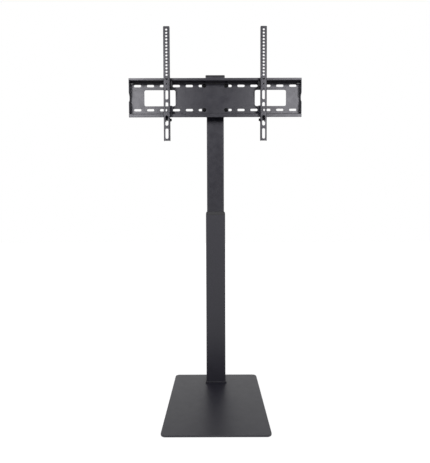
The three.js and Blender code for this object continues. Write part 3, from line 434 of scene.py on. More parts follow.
def fill_to_circle(bm, outline, radius, sides, z=0):
    """Fills the face between an outline and a circle inside it and returns the circle."""
    circle = round_loop(bm, 0, 0, radius, sides, z)
    fill(bm, outline + circle)
    return circle


def raise_faces(bm, faces, height):
    """Gives flat faces a thickness along Z."""
    result = bmesh.ops.extrude_face_region(bm, geom=faces, use_keep_orig=True)["geom"]
    bmesh.ops.translate(bm, vec=(0, 0, height), verts=new_verts(result))


def plate_shape(outline, corner, thickness):
    """A flat rectangular plate with rounded corners, that stands on z = 0."""
    bm = bmesh.new()
    raise_faces(bm, fill(bm, outline_loop(bm, *outline, corner)), thickness)
    return bm


def ring_shape(centre, levels, corner):
    """A ring round an upright axis, drawn through levels of width, depth and height and closed on its start."""
    bm = bmesh.new()
    width, depth, height = levels[0]
    x, y = centre.xy
    loop = first = outline_loop(bm, x - width / 2, y - depth / 2, x + width / 2, y + depth / 2, corner)
    for new_width, new_depth, new_height in levels[1:]:
        loop = pull(
            bm, loop, (0, 0, new_height - height), stretch=(new_width / width, new_depth / depth, 1),
            about=(x, y, 0),
        )
        width, depth, height = new_width, new_depth, new_height
    bmesh.ops.bridge_loops(bm, edges=first + loop)
    return bm


def turned_shape(profile, sides=None):
    """A profile of (radius, height) points turned about Z."""
    bm = bmesh.new()
    verts = [bm.verts.new((radius, 0, height)) for radius, height in profile]
    edges = [bm.edges.new(pair) for pair in zip(verts, verts[1:])]
    bmesh.ops.spin(
        bm, geom=verts + edges, cent=(0, 0, 0), axis=(0, 0, 1), angle=2 * pi, steps=sides or fineness().turned,
        use_merge=True,
    )
    bmesh.ops.remove_doubles(bm, verts=bm.verts, dist=MERGE_REACH)
    return bm


def washer_shape(bore, radius, thickness):
    return turned_shape([(bore, 0), (radius, 0), (radius, thickness), (bore, thickness), (bore, 0)])


def lobed_loop(bm, radius, lobes, lobe_height, steps_per_lobe):
    """A fluted circle of edges, made by moving a circle's points in and out."""
    edges = round_loop(bm, 0, 0, radius, sides=lobes * steps_per_lobe)
    for vert in ends_of(edges):
        share = cos(lobes * vert.co.xy.angle_signed(Vector((1, 0))))
        vert.co.xy = vert.co.xy * (radius + lobe_height * share) / radius
    return edges


def screw_shape(head, key, socket_depth, shank_radius, length):
    """A screw whose head sits on z = 0 and whose shank goes down: head is its profile from the top rim down.

    The hexagon socket in the top is key wide across its flats.
    """
    tip = shank_radius / 5
    bm = turned_shape(head + [
        (shank_radius, 0), (shank_radius, tip - length), (shank_radius - tip, -length), (0, -length),
    ])
    top = head[0][1]
    rim = [e for e in bm.edges if e.is_boundary and lies_at(e, Z, top)]
    hexagon = fill_to_circle(bm, rim, key / sqrt(3), 6, top)
    close(bm, pull(bm, hexagon, (0, 0, -socket_depth)))
    return bm


def button_screw(radius, height, key, socket_depth, shank_radius, length):
    """A screw with a low domed head that is flat round the socket and has a short upright rim."""
    flat, rim, steps = key / sqrt(3) + 0.5 * MM, 0.12, 6
    head = [(flat, height)]
    for k in range(1, steps + 1):
        angle = (1 - k / steps) * pi / 2
        head.append((flat + (radius - flat) * cos(angle), height * (rim + (1 - rim) * sin(angle))))
    return screw_shape(head + [(radius, 0)], key, socket_depth, shank_radius, length)


def centre_of(node):
    low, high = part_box(node)
    return (low + high) / 2


def box_of(node):
    """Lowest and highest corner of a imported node, and its centre."""
    return (*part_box(node), centre_of(node))


def merged_copy(node):
    """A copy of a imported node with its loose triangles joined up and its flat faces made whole."""
    bm = bmesh.new()
    bm.from_mesh(frame["nodes"][node].data)
    bmesh.ops.remove_doubles(bm, verts=bm.verts, dist=PACKED_MERGE_REACH)
    join_flat_faces(bm, bm.verts, degrees=1)
    return bm


# Pieces

class STAND_OT_base_plate(Operator):
    """Flat steel base plate with rounded corners and four countersunk seats underneath"""

    bl_idname = "stand.base_plate"
    bl_label = "Base Plate"

    def execute(self, context):
        low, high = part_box("base_plate")
        screws = [centre_of(f"base_screw_{i}") for i in SCREW_NUMBERS]
        seat_radius, bore_radius = mm(7.9, 4.3)
        seat_rim, cone = mm(0.6, 3)
        narrow = bore_radius / seat_radius
        bm = bmesh.new()
        rim = outline_loop(bm, *low.xy, *high.xy, sizes().base_corner, steps=14)
        seats = [round_loop(bm, s.x, s.y, seat_radius) for s in screws]
        fill(bm, rim + [e for loop in seats for e in loop])
        upper_rim = pull(bm, rim, (0, 0, high.z - low.z))
        top = list(upper_rim)
        for loop, screw in zip(seats, screws):
            step = pull(bm, loop, (0, 0, seat_rim))
            step = pull(bm, step, (0, 0, cone), stretch=(narrow, narrow, 1), about=(screw.x, screw.y, 0))
            top += pull(bm, step, (0, 0, high.z - low.z - seat_rim - cone))
        fill(bm, top)
        round_rims(bm, rim + upper_rim, sizes().base_edge, 3)
        place_piece("steel_base_plate", bm, "base_plate", at=(0, 0, low.z), edge=0.2 * MM)
        return {"FINISHED"}


class STAND_OT_foot_pads(Operator):
    """Four round rubber pads with a ring moulded into the tread"""

    bl_idname = "stand.foot_pads"
    bl_label = "Foot Pads"

    def execute(self, context):
        hollow, lower_edge = mm(0.4, 0.8)
        hollow_share, ring_share = 0.45, 0.5
        for place in ("front_left", "front_right", "rear_left", "rear_right"):
            node = f"foot_pad_{place}"
            low, high, centre = box_of(node)
            radius, height = (high.x - low.x) / 2, high.z - low.z
            bm = turned_shape([
                (0, hollow), (hollow_share * radius, hollow), (ring_share * radius, 0),
                (radius - lower_edge, 0), (radius, lower_edge), (radius, height), (0, height),
            ])
            place_piece(f"rubber_{node}", bm, node, at=(centre.x, centre.y, low.z), edge=0.2 * MM)
        return {"FINISHED"}


class STAND_OT_base_screws(Operator):
    """Four countersunk socket screws that hold the column's foot from below"""

    bl_idname = "stand.base_screws"
    bl_label = "Base Screws"

    def execute(self, context):
        head, cone, head_radius, shank_radius = mm(3.6, 3, 7.6, 4)
        key, socket_depth = mm(5, 2.6)
        for i in SCREW_NUMBERS:
            node = f"base_screw_{i}"
            low, high, centre = box_of(node)
            profile = [(shank_radius, head), (head_radius, head), (head_radius, cone)]
            bm = screw_shape(profile, key, socket_depth, shank_radius, high.z - low.z - head)
            at = (centre.x, centre.y, low.z + head)
            place_piece(f"zinc_{node}", bm, node, FACING_DOWN, at, edge=0.15 * MM)
        return {"FINISHED"}


def open_for_lock(bm, wall_y, height):
    """Cuts the round opening for the lock's pad in the tube's rear wall."""
    wall = next(f for f in bm.faces if lies_at(f, Y, wall_y))
    rim = list(wall.edges)
    bmesh.ops.delete(bm, geom=[wall], context="FACES_ONLY")
    opening = round_loop(bm, 0, 0, LOCK_POCKET_RADIUS)
    lay(bm, ends_of(opening), FACING_BACK, (0, wall_y, height))
    fill(bm, rim + opening)


class STAND_OT_column(Operator):
    """The two rectangular tubes of the column, the foot flange and its weld bead"""

    bl_idname = "stand.column"
    bl_label = "Column"

    def execute(self, context):
        flange_corner, belly_share = 3 * MM, 0.42
        low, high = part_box("column_foot_plate")
        bm = plate_shape((*low.xy, *high.xy), flange_corner, high.z - low.z)
        place_piece("steel_foot_flange", bm, "column_foot_plate", at=(0, 0, low.z), edge=0.6 * MM, edge_steps=3)

        for node, wall in (("lower_column", sizes().lower_wall), ("upper_column", sizes().upper_wall)):
            low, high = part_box(node)
            inset = wall / 2
            bm = bmesh.new()
            loop = outline_loop(
                bm, low.x + inset, low.y + inset, high.x - inset, high.y - inset, sizes().tube_corner - inset,
            )
            pull(bm, loop, (0, 0, high.z - low.z))
            if node == "lower_column":
                open_for_lock(bm, high.y - inset, centre_of("height_lock_nut").z - low.z)
            place_piece(f"steel_{node}_tube", bm, node, at=(0, 0, low.z), sheet=wall, edge=0.4 * MM)

        low, high, centre = box_of("lower_column")
        width, depth = high.x - low.x, high.y - low.y
        leg = sizes().weld_leg
        belly = belly_share * leg
        bead = ring_shape(centre, [
            (width, depth, 0), (width + 2 * leg, depth + 2 * leg, 0),
            (width + 2 * belly, depth + 2 * belly, belly), (width, depth, leg),
        ], sizes().tube_corner)
        place_piece("foot_weld_bead", bead, "column_foot_plate", at=(0, 0, low.z), edge=0)
        return {"FINISHED"}


class STAND_OT_column_plastics(Operator):
    """Moulded glide collar between the tubes and the cap on top"""

    bl_idname = "stand.column_plastics"
    bl_label = "Collar and Cap"

    def execute(self, context):
        low, high, centre = box_of("glide_collar")
        tube_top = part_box("lower_column")[1].z
        inner_low, inner_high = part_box("upper_column")
        width, depth = high.x - low.x, high.y - low.y
        skirt_gap, bore_gap, shoulder_inset, lid_corner = mm(5.6, 0.6, 3.3, 5)
        steps = 10
        skirt = (width - skirt_gap, depth - skirt_gap)
        bore = (inner_high.x - inner_low.x + bore_gap, inner_high.y - inner_low.y + bore_gap)
        skirt_height, shoulder = tube_top - low.z, high.z - tube_top
        levels = [(*skirt, 0), (*skirt, skirt_height), (width, depth, skirt_height)]
        for k in range(1, steps + 1):
            angle = pi / 2 * k / steps
            narrowing = 2 * shoulder_inset * (1 - cos(angle))
            levels.append((width - narrowing, depth - narrowing, skirt_height + shoulder * sin(angle)))
        levels += [(*bore, high.z - low.z), (*bore, 0)]
        collar = ring_shape(centre, levels, sizes().tube_corner)
        place_piece("plastic_glide_collar", collar, "glide_collar", at=(0, 0, low.z), edge=0.3 * MM)

        low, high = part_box("column_top_cap")
        lid = plate_shape((*low.xy, *high.xy), lid_corner, high.z - inner_high.z)
        place_piece(
            "plastic_top_cap", lid, "column_top_cap", at=(0, 0, inner_high.z), edge=1 * MM, edge_steps=3,
        )
        return {"FINISHED"}


class STAND_OT_height_lock(Operator):
    """Welded nut, threaded stud and star knob that clamp the upper tube"""

    bl_idname = "stand.height_lock"
    bl_label = "Height Lock"

    def execute(self, context):
        low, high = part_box("height_lock_nut")
        height = centre_of("height_lock_nut").z
        radius, length = (high.x - low.x) / 2, high.y - low.y
        bead, pocket, bore, chamfer = mm(1.8, 4.5, 4.3, 1)
        belly = 0.35 * bead
        bm = turned_shape([
            (LOCK_POCKET_RADIUS, 0), (radius + bead, 0), (radius + belly, belly), (radius, bead),
            (radius, length - chamfer), (radius - chamfer, length), (bore, length), (bore, pocket),
            (LOCK_POCKET_RADIUS, pocket), (LOCK_POCKET_RADIUS, 0),
        ])
        place_piece("steel_lock_nut", bm, "height_lock_nut", FACING_BACK, (0, low.y, height), edge=0.2 * MM)

        low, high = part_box("height_lock_stud")
        length = high.y - low.y
        crest, root, pitch = mm(4, 3.3, 1.25)
        profile = [(0, 0), (root, 0)]
        for k in range(int(length / pitch)):
            profile += [(crest, (k + 0.5) * pitch), (root, (k + 1) * pitch)]
        bm = turned_shape(profile + [(root, length), (0, length)], sides=32)
        place_piece("zinc_lock_stud", bm, "height_lock_stud", FACING_BACK, (0, low.y, height), edge=0)

        low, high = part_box("height_lock_knob")
        radius, lobe_height, recess_radius, recess_depth, dome_height = mm(19, 2.2, 10, 1.2, 0.9)
        hub_radius, hub = mm(9, 5)
        lobes, lobe_steps, sides, dome_share = 6, 20, 48, 0.82
        grip = high.y - low.y - hub
        bm = bmesh.new()
        star = lobed_loop(bm, radius, lobes, lobe_height, lobe_steps)
        recess = fill_to_circle(bm, star, recess_radius, sides)
        floor = pull(bm, recess, (0, 0, -recess_depth))
        close(bm, pull(bm, floor, (0, 0, dome_height), stretch=(dome_share, dome_share, 1)))
        under = pull(bm, star, (0, 0, -grip))
        neck = fill_to_circle(bm, under, hub_radius, sides, -grip)
        close(bm, pull(bm, neck, (0, 0, -hub)))
        round_rims(bm, star + under, 1.6 * MM, 4)
        place_piece(
            "plastic_lock_knob", bm, "height_lock_knob", FACING_BACK, (0, high.y, height), edge=0.3 * MM,
        )
        return {"FINISHED"}


class STAND_OT_head_bracket(Operator):
    """Folded channel round the top of the column, with the plate that carries the rail"""

    bl_idname = "stand.head_bracket"
    bl_label = "Head Bracket"

    def execute(self, context):
        low, high, centre = box_of("head_bracket")
        wall, bend, half_width, web_inset = mm(3.5, 3.25, 37.3, 3)
        plate, plate_height, plate_corner = mm(3.2, 118, 5)
        half = half_width - wall / 2
        web = low.y + web_inset + wall / 2
        bm = bmesh.new()
        flat_face(bm, 2 * (half - bend), high.z - low.z, (0, centre.z, 0))
        lay(bm, bm.verts, FACING_FRONT, (0, web, 0))
        for side in (-1, 1):
            fold_x = side * (half - bend)
            edges = [e for e in bm.edges if lies_at(e, X, fold_x)]
            far = fold(bm, edges, (fold_x, web + bend, 0), (0, 0, 1), side * 90)
            pull(bm, far, (0, high.y - web - bend, 0))
        place_piece("steel_head_channel", bm, "head_bracket", sheet=wall, edge=0.5 * MM)

        bm = plate_shape((low.x, low.z, high.x, low.z + plate_height), plate_corner, -plate)
        place_piece("steel_head_plate", bm, "head_bracket", FACING_FRONT, (0, low.y, 0), edge=0.5 * MM)
        return {"FINISHED"}


class STAND_OT_cross_bolts(Operator):
    """Two bolts with nuts through the head bracket and the upper tube"""

    bl_idname = "stand.cross_bolts"
    bl_label = "Cross Bolts"

    def execute(self, context):
        head_radius, head, key, socket_depth, shank_radius = mm(6.6, 5, 5, 2.8, 4)
        nut_radius, nut_bore = mm(7.5, 4.1)
        for i in (1, 2):
            node = f"head_cross_bolt_{i}"
            low, high, centre = box_of(node)
            bm = button_screw(head_radius, head, key, socket_depth, shank_radius, high.x - low.x - head)
            at = (low.x + head, centre.y, centre.z)
            place_piece(f"black_cross_bolt_{i}", bm, node, FACING_LEFT, at, edge=0.15 * MM)

            node = f"head_cross_nut_{i}"
            low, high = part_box(node)
            bm = bmesh.new()
            faces = fill(bm, round_loop(bm, 0, 0, nut_radius, sides=6) + round_loop(bm, 0, 0, nut_bore))
            raise_faces(bm, faces, high.x - low.x)
            at = (low.x, centre.y, centre.z)
            place_piece(f"black_cross_nut_{i}", bm, node, FACING_RIGHT, at, edge=0.5 * MM)
        return {"FINISHED"}


def rail_shape(low, high):
    """The rail's folded sheet, drawn through the middle of its thickness."""
    sheet = sizes().rail_sheet
    bend, half = sheet, sheet / 2
    end = high.x
    inner = end - sizes().rail_inset
    plate_y, lip_y = high.y - half, low.y + half
    upper_flange, lower_flange = mm(1192.3, 1066.4)
    slot_heights = mm(1181.1, 1088.7)
    window_x, window_z = mm(214.7, 1134.6)
    top, bottom = upper_flange - bend, lower_flange + bend
    relief = 0.8 * MM
    ear = end - half - bend
    bm = bmesh.new()
    outer = polygon_loop(bm, [
        (-inner, bottom), (inner, bottom), (inner, bottom + relief), (ear, bottom + relief),
        (ear, top - relief), (inner, top - relief), (inner, top), (-inner, top),
        (-inner, top - relief), (-ear, top - relief), (-ear, bottom + relief), (-inner, bottom + relief),
    ])
    holes = []
    for k in (*range(-6, 0), *range(1, 7)):
        for z in slot_heights:
            holes += slot_loop(bm, k * sizes().slot_pitch, z, sizes().slot_length, sizes().slot_width)
    wide, tall = sizes().window_width / 2, sizes().window_height / 2
    for x in (-window_x, window_x):
        holes += outline_loop(
            bm, x - wide, window_z - tall, x + wide, window_z + tall, sizes().window_corner,
        )
    fill(bm, outer + holes)
    lay(bm, bm.verts, FACING_FRONT, (0, plate_y, 0))

    # Flanges to the front with their lips, which go on over the relief gaps to the rail's ends
    for z, up, tip in ((top, 1, high.z), (bottom, -1, low.z)):
        edges = [e for e in bm.edges if e.is_boundary and lies_at(e, Z, z) and e.calc_length() > end]
        lip_fold_z = z + up * 2 * bend
        run = fold(bm, edges, (0, plate_y - bend, z), (1, 0, 0), up * 90)
        run = pull(bm, run, (0, lip_y + bend - (plate_y - bend), 0))
        run = fold(bm, run, (0, lip_y + bend, lip_fold_z), (1, 0, 0), -up * 90)
        pull(bm, run, (0, 0, tip - lip_fold_z))
        for side in (-1, 1):
            strip = [
                e for e in bm.edges
                if lies_at(e, X, side * inner) and all(up * (v.co.z - z) > -SAME_PLACE for v in e.verts)
            ]
            pull(bm, strip, (side * (end - inner), 0, 0))

    # End walls with a notch in their front edge
    middle = (top + bottom) / 2
    notch_depth, notch_mouth, notch_floor, notch_corner = mm(12, 37.6, 17, 2)
    back, front = plate_y - bend, low.y
    corners = [
        (back, bottom + relief), (front, bottom + relief), (front, middle - notch_mouth / 2),
        (front + notch_depth, middle - notch_floor / 2),
        (front + notch_depth, middle + notch_floor / 2),
        (front, middle + notch_mouth / 2), (front, top - relief), (back, top - relief),
    ]
    for side in (-1, 1):
        edges = [e for e in bm.edges if lies_at(e, X, side * ear)]
        fold(bm, edges, (side * ear, back, 0), (0, 0, 1), -side * 90)
        x = side * (end - half)
        verts = [bm.verts.new((x, y, z)) for y, z in corners]
        bm.faces.new(verts)
        bevel(bm, verts[3:5], notch_corner, 5)
        bmesh.ops.triangulate(bm, faces=[f for f in bm.faces if lies_at(f, X, x)])
    return bm


class STAND_OT_rail(Operator):
    """Rail folded from one slotted sheet, with lips, notched end walls, slots and cable windows"""

    bl_idname = "stand.rail"
    bl_label = "Rail"

    def execute(self, context):
        rail = rail_shape(*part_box("mount_rail"))
        place_piece("steel_mount_rail", rail, "mount_rail", sheet=sizes().rail_sheet)
        return {"FINISHED"}


class STAND_OT_rail_screws(Operator):
    """Four button-head screws with washers that hold the rail on the head plate"""

    bl_idname = "stand.rail_screws"
    bl_label = "Rail Screws"

    def execute(self, context):
        head_radius, key, socket_depth, shank_radius = mm(6, 4, 2, 3)
        washer_bore, washer_radius = mm(3.3, 7)
        for i in SCREW_NUMBERS:
            washer, bolt = f"rail_washer_{i}", f"rail_bolt_{i}"
            low, high, centre = box_of(washer)
            bm = washer_shape(washer_bore, washer_radius, high.y - low.y)
            at = (centre.x, high.y, centre.z)
            place_piece(f"black_{washer}", bm, washer, FACING_FRONT, at, edge=0.15 * MM)
            head_y, tip_y = (corner.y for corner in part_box(bolt))
            bm = button_screw(head_radius, low.y - head_y, key, socket_depth, shank_radius, tip_y - low.y)
            at = (centre.x, low.y, centre.z)
            place_piece(f"black_{bolt}", bm, bolt, FACING_FRONT, at, edge=0.15 * MM)
        return {"FINISHED"}


def arm_shape(low, high):
    """An arm's folded sheet, drawn through the middle of its thickness."""
    bend = sheet = sizes().arm_sheet
    pitch, hole_count = sizes().arm_pitch, 15
    top_inset, row_gap, rivet_pitch, rivet_radius = mm(12.3, 14.4, 19, 2.4)
    slot_lengths = mm(38.6, 38.6, 38.6, 34)
    slot_inset, slot_gap, flange = mm(7.5, 10, 10)
    pivot_z, lug, lug_corner, end_corner = mm(1169, 9, 8.7, 3)
    centre_x, half = (low.x + high.x) / 2, (high.x - low.x) / 2
    flat = half - sheet / 2 - bend
    web_y, flange_y = low.y + sheet / 2, low.y + flange
    # The ends are drawn a little short, since the rounding of their corners stands out a little
    bottom, top = low.z + 0.1 * MM, high.z - 0.1 * MM
    marks = (bottom, pivot_z - lug, pivot_z + lug, top)
    bm = bmesh.new()
    outer = polygon_loop(bm, [(flat, z) for z in marks] + [(-flat, z) for z in reversed(marks)])
    holes = []
    z = high.z - top_inset
    for k in range(hole_count):
        holes += round_loop(bm, 0, z - k * pitch, sizes().arm_hole)
    z -= (hole_count - 1) * pitch + row_gap
    holes += round_loop(bm, 0, z, sizes().arm_hole)
    for k in (1, 2):
        holes += round_loop(bm, 0, z - k * rivet_pitch, rivet_radius)
    z = low.z + slot_inset
    for length in slot_lengths:
        holes += slot_loop(bm, 0, z + length / 2, length, sizes().arm_slot, along=Y)
        z += length + slot_gap
    fill(bm, outer + holes)
    lay(bm, bm.verts, FACING_FRONT, (centre_x, web_y, 0))
    for hand in (-1, 1):
        edge_x = centre_x + hand * flat
        edges = [e for e in bm.edges if e.is_boundary and lies_at(e, X, edge_x)]
        run = fold(bm, edges, (edge_x, web_y + bend, 0), (0, 0, 1), hand * 90)
        run = pull(bm, run, (0, flange_y - web_y - bend, 0))
        lug_edges = [e for e in run if all(abs(v.co.z - pivot_z) < lug + SAME_PLACE for v in e.verts)]
        tip = pull(bm, lug_edges, (0, high.y - flange_y, 0))
        bevel(bm, ends_of(tip), lug_corner, 8)
    for hand in (-1, 1):
        for end, up in ((top, 1), (bottom, -1)):
            heart = Vector((centre_x + hand * (half - end_corner), web_y, end - up * end_corner))
            for degrees in (18, 36, 54, 72):
                away = Vector((hand * cos(radians(degrees)), 0, up * sin(radians(degrees))))
                bmesh.ops.bisect_plane(
                    bm, geom=bm.verts[:] + bm.edges[:] + bm.faces[:], dist=MM / 1000,
                    plane_co=heart + away * end_corner, plane_no=away, clear_outer=True,
                )
    return bm


class STAND_OT_arms(Operator):
    """Two screen arms: narrow folded channels with round holes, slots and lugs for the tilt pivot"""

    bl_idname = "stand.arms"
    bl_label = "Screen Arms"

    def execute(self, context):
        for node in ("left_vesa_arm", "right_vesa_arm"):
            arm = arm_shape(*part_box(node))
            place_piece(f"steel_{node}", arm, node, sheet=sizes().arm_sheet, edge=0.15 * MM)
        return {"FINISHED"}


class STAND_OT_hook_brackets(Operator):
    """Folded brackets behind the arms that hook over the rail's upper lip"""

    bl_idname = "stand.hook_brackets"
    bl_label = "Hook Brackets"

    def execute(self, context):
        for node in ("left_hook_bracket", "right_hook_bracket"):
            place_piece(f"steel_{node}", merged_copy(node), node, edge=0.3 * MM)
        return {"FINISHED"}


class STAND_OT_tilt_pivots(Operator):
    """Pivot bolts, nylon washers and fluted knobs that set the tilt"""

    bl_idname = "stand.tilt_pivots"
    bl_label = "Tilt Pivots"

    def execute(self, context):
        head_radius, head, key, socket_depth, shank_radius = mm(6.5, 2, 4, 1.3, 4)
        washer_bore, washer_radius = mm(4.3, 9)
        knob_radius, lobe_height, recess_radius, recess_depth = mm(15.2, 0.8, 10, 1)
        lobes, lobe_steps, sides, floor_share = 12, 10, 48, 0.95
        for word, side, outward, inward in SIDES:
            bolt, washer, knob = f"{word}_pivot_bolt", f"{word}_tilt_washer", f"{word}_tilt_knob"
            low, high, centre = box_of(bolt)
            seat_x = high.x - head if side > 0 else low.x + head
            bm = button_screw(head_radius, head, key, socket_depth, shank_radius, high.x - low.x - head)
            place_piece(f"black_{bolt}", bm, bolt, outward, (seat_x, centre.y, centre.z), edge=0.15 * MM)

            low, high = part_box(washer)
            bm = washer_shape(washer_bore, washer_radius, high.x - low.x)
            place_piece(f"nylon_{washer}", bm, washer, FACING_RIGHT, (low.x, centre.y, centre.z), edge=0.2 * MM)

            low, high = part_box(knob)
            face_x = low.x if side > 0 else high.x
            bm = bmesh.new()
            fluted = lobed_loop(bm, knob_radius, lobes, lobe_height, lobe_steps)
            recess = fill_to_circle(bm, fluted, recess_radius, sides)
            close(bm, pull(bm, recess, (0, 0, -recess_depth), stretch=(floor_share, floor_share, 1)))
            back = pull(bm, fluted, (0, 0, low.x - high.x))
            close(bm, back)
            round_rims(bm, fluted + back, 0.9 * MM, 3)
            place_piece(f"plastic_{knob}", bm, knob, inward, (face_x, centre.y, centre.z), edge=0.3 * MM)
        return {"FINISHED"}


class STAND_OT_latches(Operator):
    """Safety latches under the rail: finger, shaft with a fluted head, and clip"""

    bl_idname = "stand.latches"
    bl_label = "Safety Latches"

    def execute(self, context):
        head_radius, head, lobe_height, rim, recess_radius, recess_depth = mm(4.65, 4.4, 0.35, 0.3, 2.6, 0.6)
        shank_radius, clip_seat, tip = mm(2.5, 3.1, 2.8)
        lobes, lobe_steps, sides, face_share = 12, 6, 24, 0.93
        for word, side, _, inward in SIDES:
            node = f"{word}_latch_shaft"
            low, high, centre = box_of(node)
            near_x = low.x if side > 0 else high.x
            bm = bmesh.new()
            fluted = lobed_loop(bm, head_radius, lobes, lobe_height, lobe_steps)
            face = pull(bm, fluted, (0, 0, rim), stretch=(face_share, face_share, 1))
            recess = fill_to_circle(bm, face, recess_radius, sides, rim)
            close(bm, pull(bm, recess, (0, 0, -recess_depth)))
            under = pull(bm, fluted, (0, 0, -head))
            shank = fill_to_circle(bm, under, shank_radius, sides, -head)
            groove = pull(bm, shank, (0, 0, head + clip_seat - (high.x - low.x)))
            close(bm, pull(bm, groove, (0, 0, -tip)))
            bmesh.ops.translate(bm, vec=(0, 0, -rim), verts=bm.verts)
            place_piece(f"black_{node}", bm, node, inward, (near_x, centre.y, centre.z), edge=0.12 * MM)
            for part, edge in (("safety_latch", 0.3 * MM), ("latch_clip", 0.1 * MM)):
                node = f"{word}_{part}"
                place_piece(f"black_{node}", merged_copy(node), node, edge=edge)
        return {"FINISHED"}


class STAND_OT_inner_parts(Operator):
    """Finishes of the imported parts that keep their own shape: the tube's shoe and the lock's pad"""

    bl_idname = "stand.inner_parts"
    bl_label = "Inner Parts"

    def execute(self, context):
        for node in ("upper_column_shoe", "height_lock_pad"):
            data = frame["nodes"][node].data
            data.materials.clear()
            data.materials.append(finish_of(node))
        return {"FINISHED"}


# Stage

def mix_for_seen_rays(tree, lighting, seen):
    """Shows one shader to the camera and in shiny faces, while the other one lights the stand."""
    rays = add_node(tree, "LightPath").outputs
    share = rays["Is Camera Ray"]
    for kind in ("Is Glossy Ray", "Is Transmission Ray"):
        links = {0: share, 1: rays[kind]}
        share = add_node(tree, "Math", links, operation="MAXIMUM", use_clamp=True).outputs[0]
    links = {"Fac": share, 1: lighting.outputs[0], 2: seen.outputs[0]}
    return add_node(tree, "MixShader", links).outputs[0]


def pale_stage_floor():
    """Matt pale studio floor: it shows as white behind the stand and keeps the stand's soft shadow."""
    material = bpy.data.materials.new("pale_stage_floor")
    tree = empty_tree(material)
    colour, faint_share = colours().floor[:], 0.35
    plain = add_node(tree, "BsdfDiffuse", color=colour)
    faint = add_node(tree, "BsdfDiffuse", color=tuple(c * faint_share for c in colour[:3]) + (1,))
    # Near the stand the floor leaves room for its shadow; further off it is as white as the backdrop
    place = add_node(tree, "TexCoord").outputs["Object"]
    away = add_node(tree, "VectorMath", {"Vector": place}, operation="LENGTH")
    fade = add_node(
        tree, "MapRange", {"Value": away.outputs["Value"]}, interpolation_type="SMOOTHSTEP",
        from_min=0.45, from_max=1.3, to_min=0.87, to_max=1.0,
    )
    glow = add_node(tree, "Emission", {"Strength": fade.outputs["Result"]})
    lit = add_node(tree, "AddShader", {0: faint.outputs[0], 1: glow.outputs[0]})
    add_node(tree, "OutputMaterial", {"Surface": mix_for_seen_rays(tree, plain, lit)})
    return material


def black_felt():
    """Dull black felt: it gives the steel's flat faces something dark to mirror."""
    material = bpy.data.materials.new("black_felt_card")
    tree = empty_tree(material)
    felt = add_node(tree, "BsdfDiffuse", color=linear("#202020"))
    add_node(tree, "OutputMaterial", {"Surface": felt.outputs[0]})
    return material


def white_studio():
    """White surroundings that show as pure white and light the stand softly."""
    world = bpy.data.worlds.new("studio")
    tree = empty_tree(world)
    dim, white = (
        add_node(tree, "Background", color=(1, 1, 1, 1), strength=strength) for strength in (0.35, 1)
    )
    add_node(tree, "OutputWorld", {"Surface": mix_for_seen_rays(tree, dim, white)})
    return world


def softbox(name, x):
    """A soft box in front of the stand and above it, aimed at the column."""
    place, aim = Vector((x, -2.4, 1.9)), Vector((0, 0.1, 1))
    data = bpy.data.lights.new(name, "AREA")
    set_values(data, shape="RECTANGLE", size=0.8, size_y=1.2, energy=28, color=(1, 0.985, 1.05))
    light = new_object(data)
    light.location = place
    light.rotation_euler = (aim - place).to_track_quat("-Z", "Y").to_euler()
    light.visible_camera = False


def stage_sheet(name, size, lie, at, material):
    """A flat sheet of the stage."""
    bm = bmesh.new()
    flat_face(bm, *size)
    lay(bm, bm.verts, lie, at)
    return mesh_object(name, bm, material)


def photo_camera():
    """The photo's camera, as fitted to the base's sides and to the widths of both tubes."""
    picture_height, focal_pixels, sensor = 463, 371.3, 36
    right_pixels, up_pixels = -0.61, 7.79
    eye, pitch_down, roll = (0, -1.3212, 0.6403), 0.0378, -0.003
    data = bpy.data.cameras.new("photo_camera")
    set_values(
        data, sensor_fit="VERTICAL", sensor_height=sensor, lens=focal_pixels * sensor / picture_height,
        shift_x=right_pixels / picture_height, shift_y=up_pixels / picture_height, clip_end=60,
    )
    camera = new_object(data)
    camera.matrix_world = (
        Matrix.Translation(eye) @ Matrix.Rotation(pi / 2 - pitch_down, 4, "X") @ Matrix.Rotation(roll, 4, "Z")
    )
    return camera


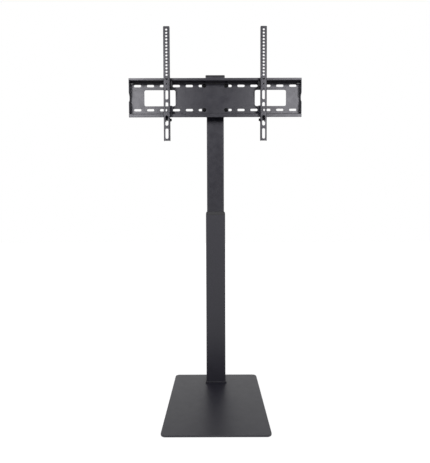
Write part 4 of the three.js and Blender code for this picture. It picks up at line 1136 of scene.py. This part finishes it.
class STAND_OT_stage(Operator):
    """Pale floor, white surroundings, soft studio light and the camera"""

    bl_idname = "stand.stage"
    bl_label = "Stage"

    def execute(self, context):
        scene = context.scene
        floor = stage_sheet("stage_floor", (24, 24), LYING, (0, 0, 0), pale_stage_floor())
        scene.world = white_studio()
        softbox("left_softbox", -0.98)
        softbox("right_softbox", 0.98)
        # Upright black cards behind the camera and behind the stand, which the camera doesn't see
        felt = black_felt()
        for name, size, at in (
            ("card_behind_camera", (1, 1.5), (0, -2.45, 1.65)),
            ("card_behind_stand", (0.9, 0.3), (0, 0.5, 1.05)),
        ):
            card = stage_sheet(name, size, FACING_BACK, at, felt)
            card.visible_camera = False
        scene.camera = photo_camera()
        scene.view_settings.view_transform = "Standard"
        return {"FINISHED"}


OPERATORS = (
    STAND_OT_base_plate, STAND_OT_foot_pads, STAND_OT_base_screws, STAND_OT_column, STAND_OT_column_plastics,
    STAND_OT_height_lock, STAND_OT_head_bracket, STAND_OT_cross_bolts, STAND_OT_rail, STAND_OT_rail_screws,
    STAND_OT_arms, STAND_OT_hook_brackets, STAND_OT_tilt_pivots, STAND_OT_latches, STAND_OT_inner_parts,
    STAND_OT_stage,
)


class STAND_PT_panel(Panel):
    """Lists the stand's pieces, sizes and colours in the sidebar"""

    bl_idname = "STAND_PT_panel"
    bl_label = "TV Floor Stand"
    bl_space_type = "VIEW_3D"
    bl_region_type = "UI"
    bl_category = "TV Stand"

    def draw(self, context):
        for operator in OPERATORS:
            self.layout.operator(operator.bl_idname)
        for group in (sizes(), colours(), fineness()):
            box = self.layout.box()
            for name in group.bl_rna.properties.keys():
                if name not in ("rna_type", "name"):
                    box.prop(group, name)


GROUPS = {"stand_colours": StandColours, "stand_sizes": StandSizes, "stand_fineness": StandFineness}
CLASSES = (*GROUPS.values(), STAND_PT_panel, *OPERATORS)


def register():
    for item in CLASSES:
        bpy.utils.register_class(item)
    for name, group in GROUPS.items():
        setattr(bpy.types.Scene, name, PointerProperty(type=group))


def unregister():
    for name in GROUPS:
        delattr(bpy.types.Scene, name)
    for item in reversed(CLASSES):
        bpy.utils.unregister_class(item)


def main():
    register()
    for operator in OPERATORS:
        group, name = operator.bl_idname.split(".")
        getattr(getattr(bpy.ops, group), name)()


if __name__ == "__main__":
    main()
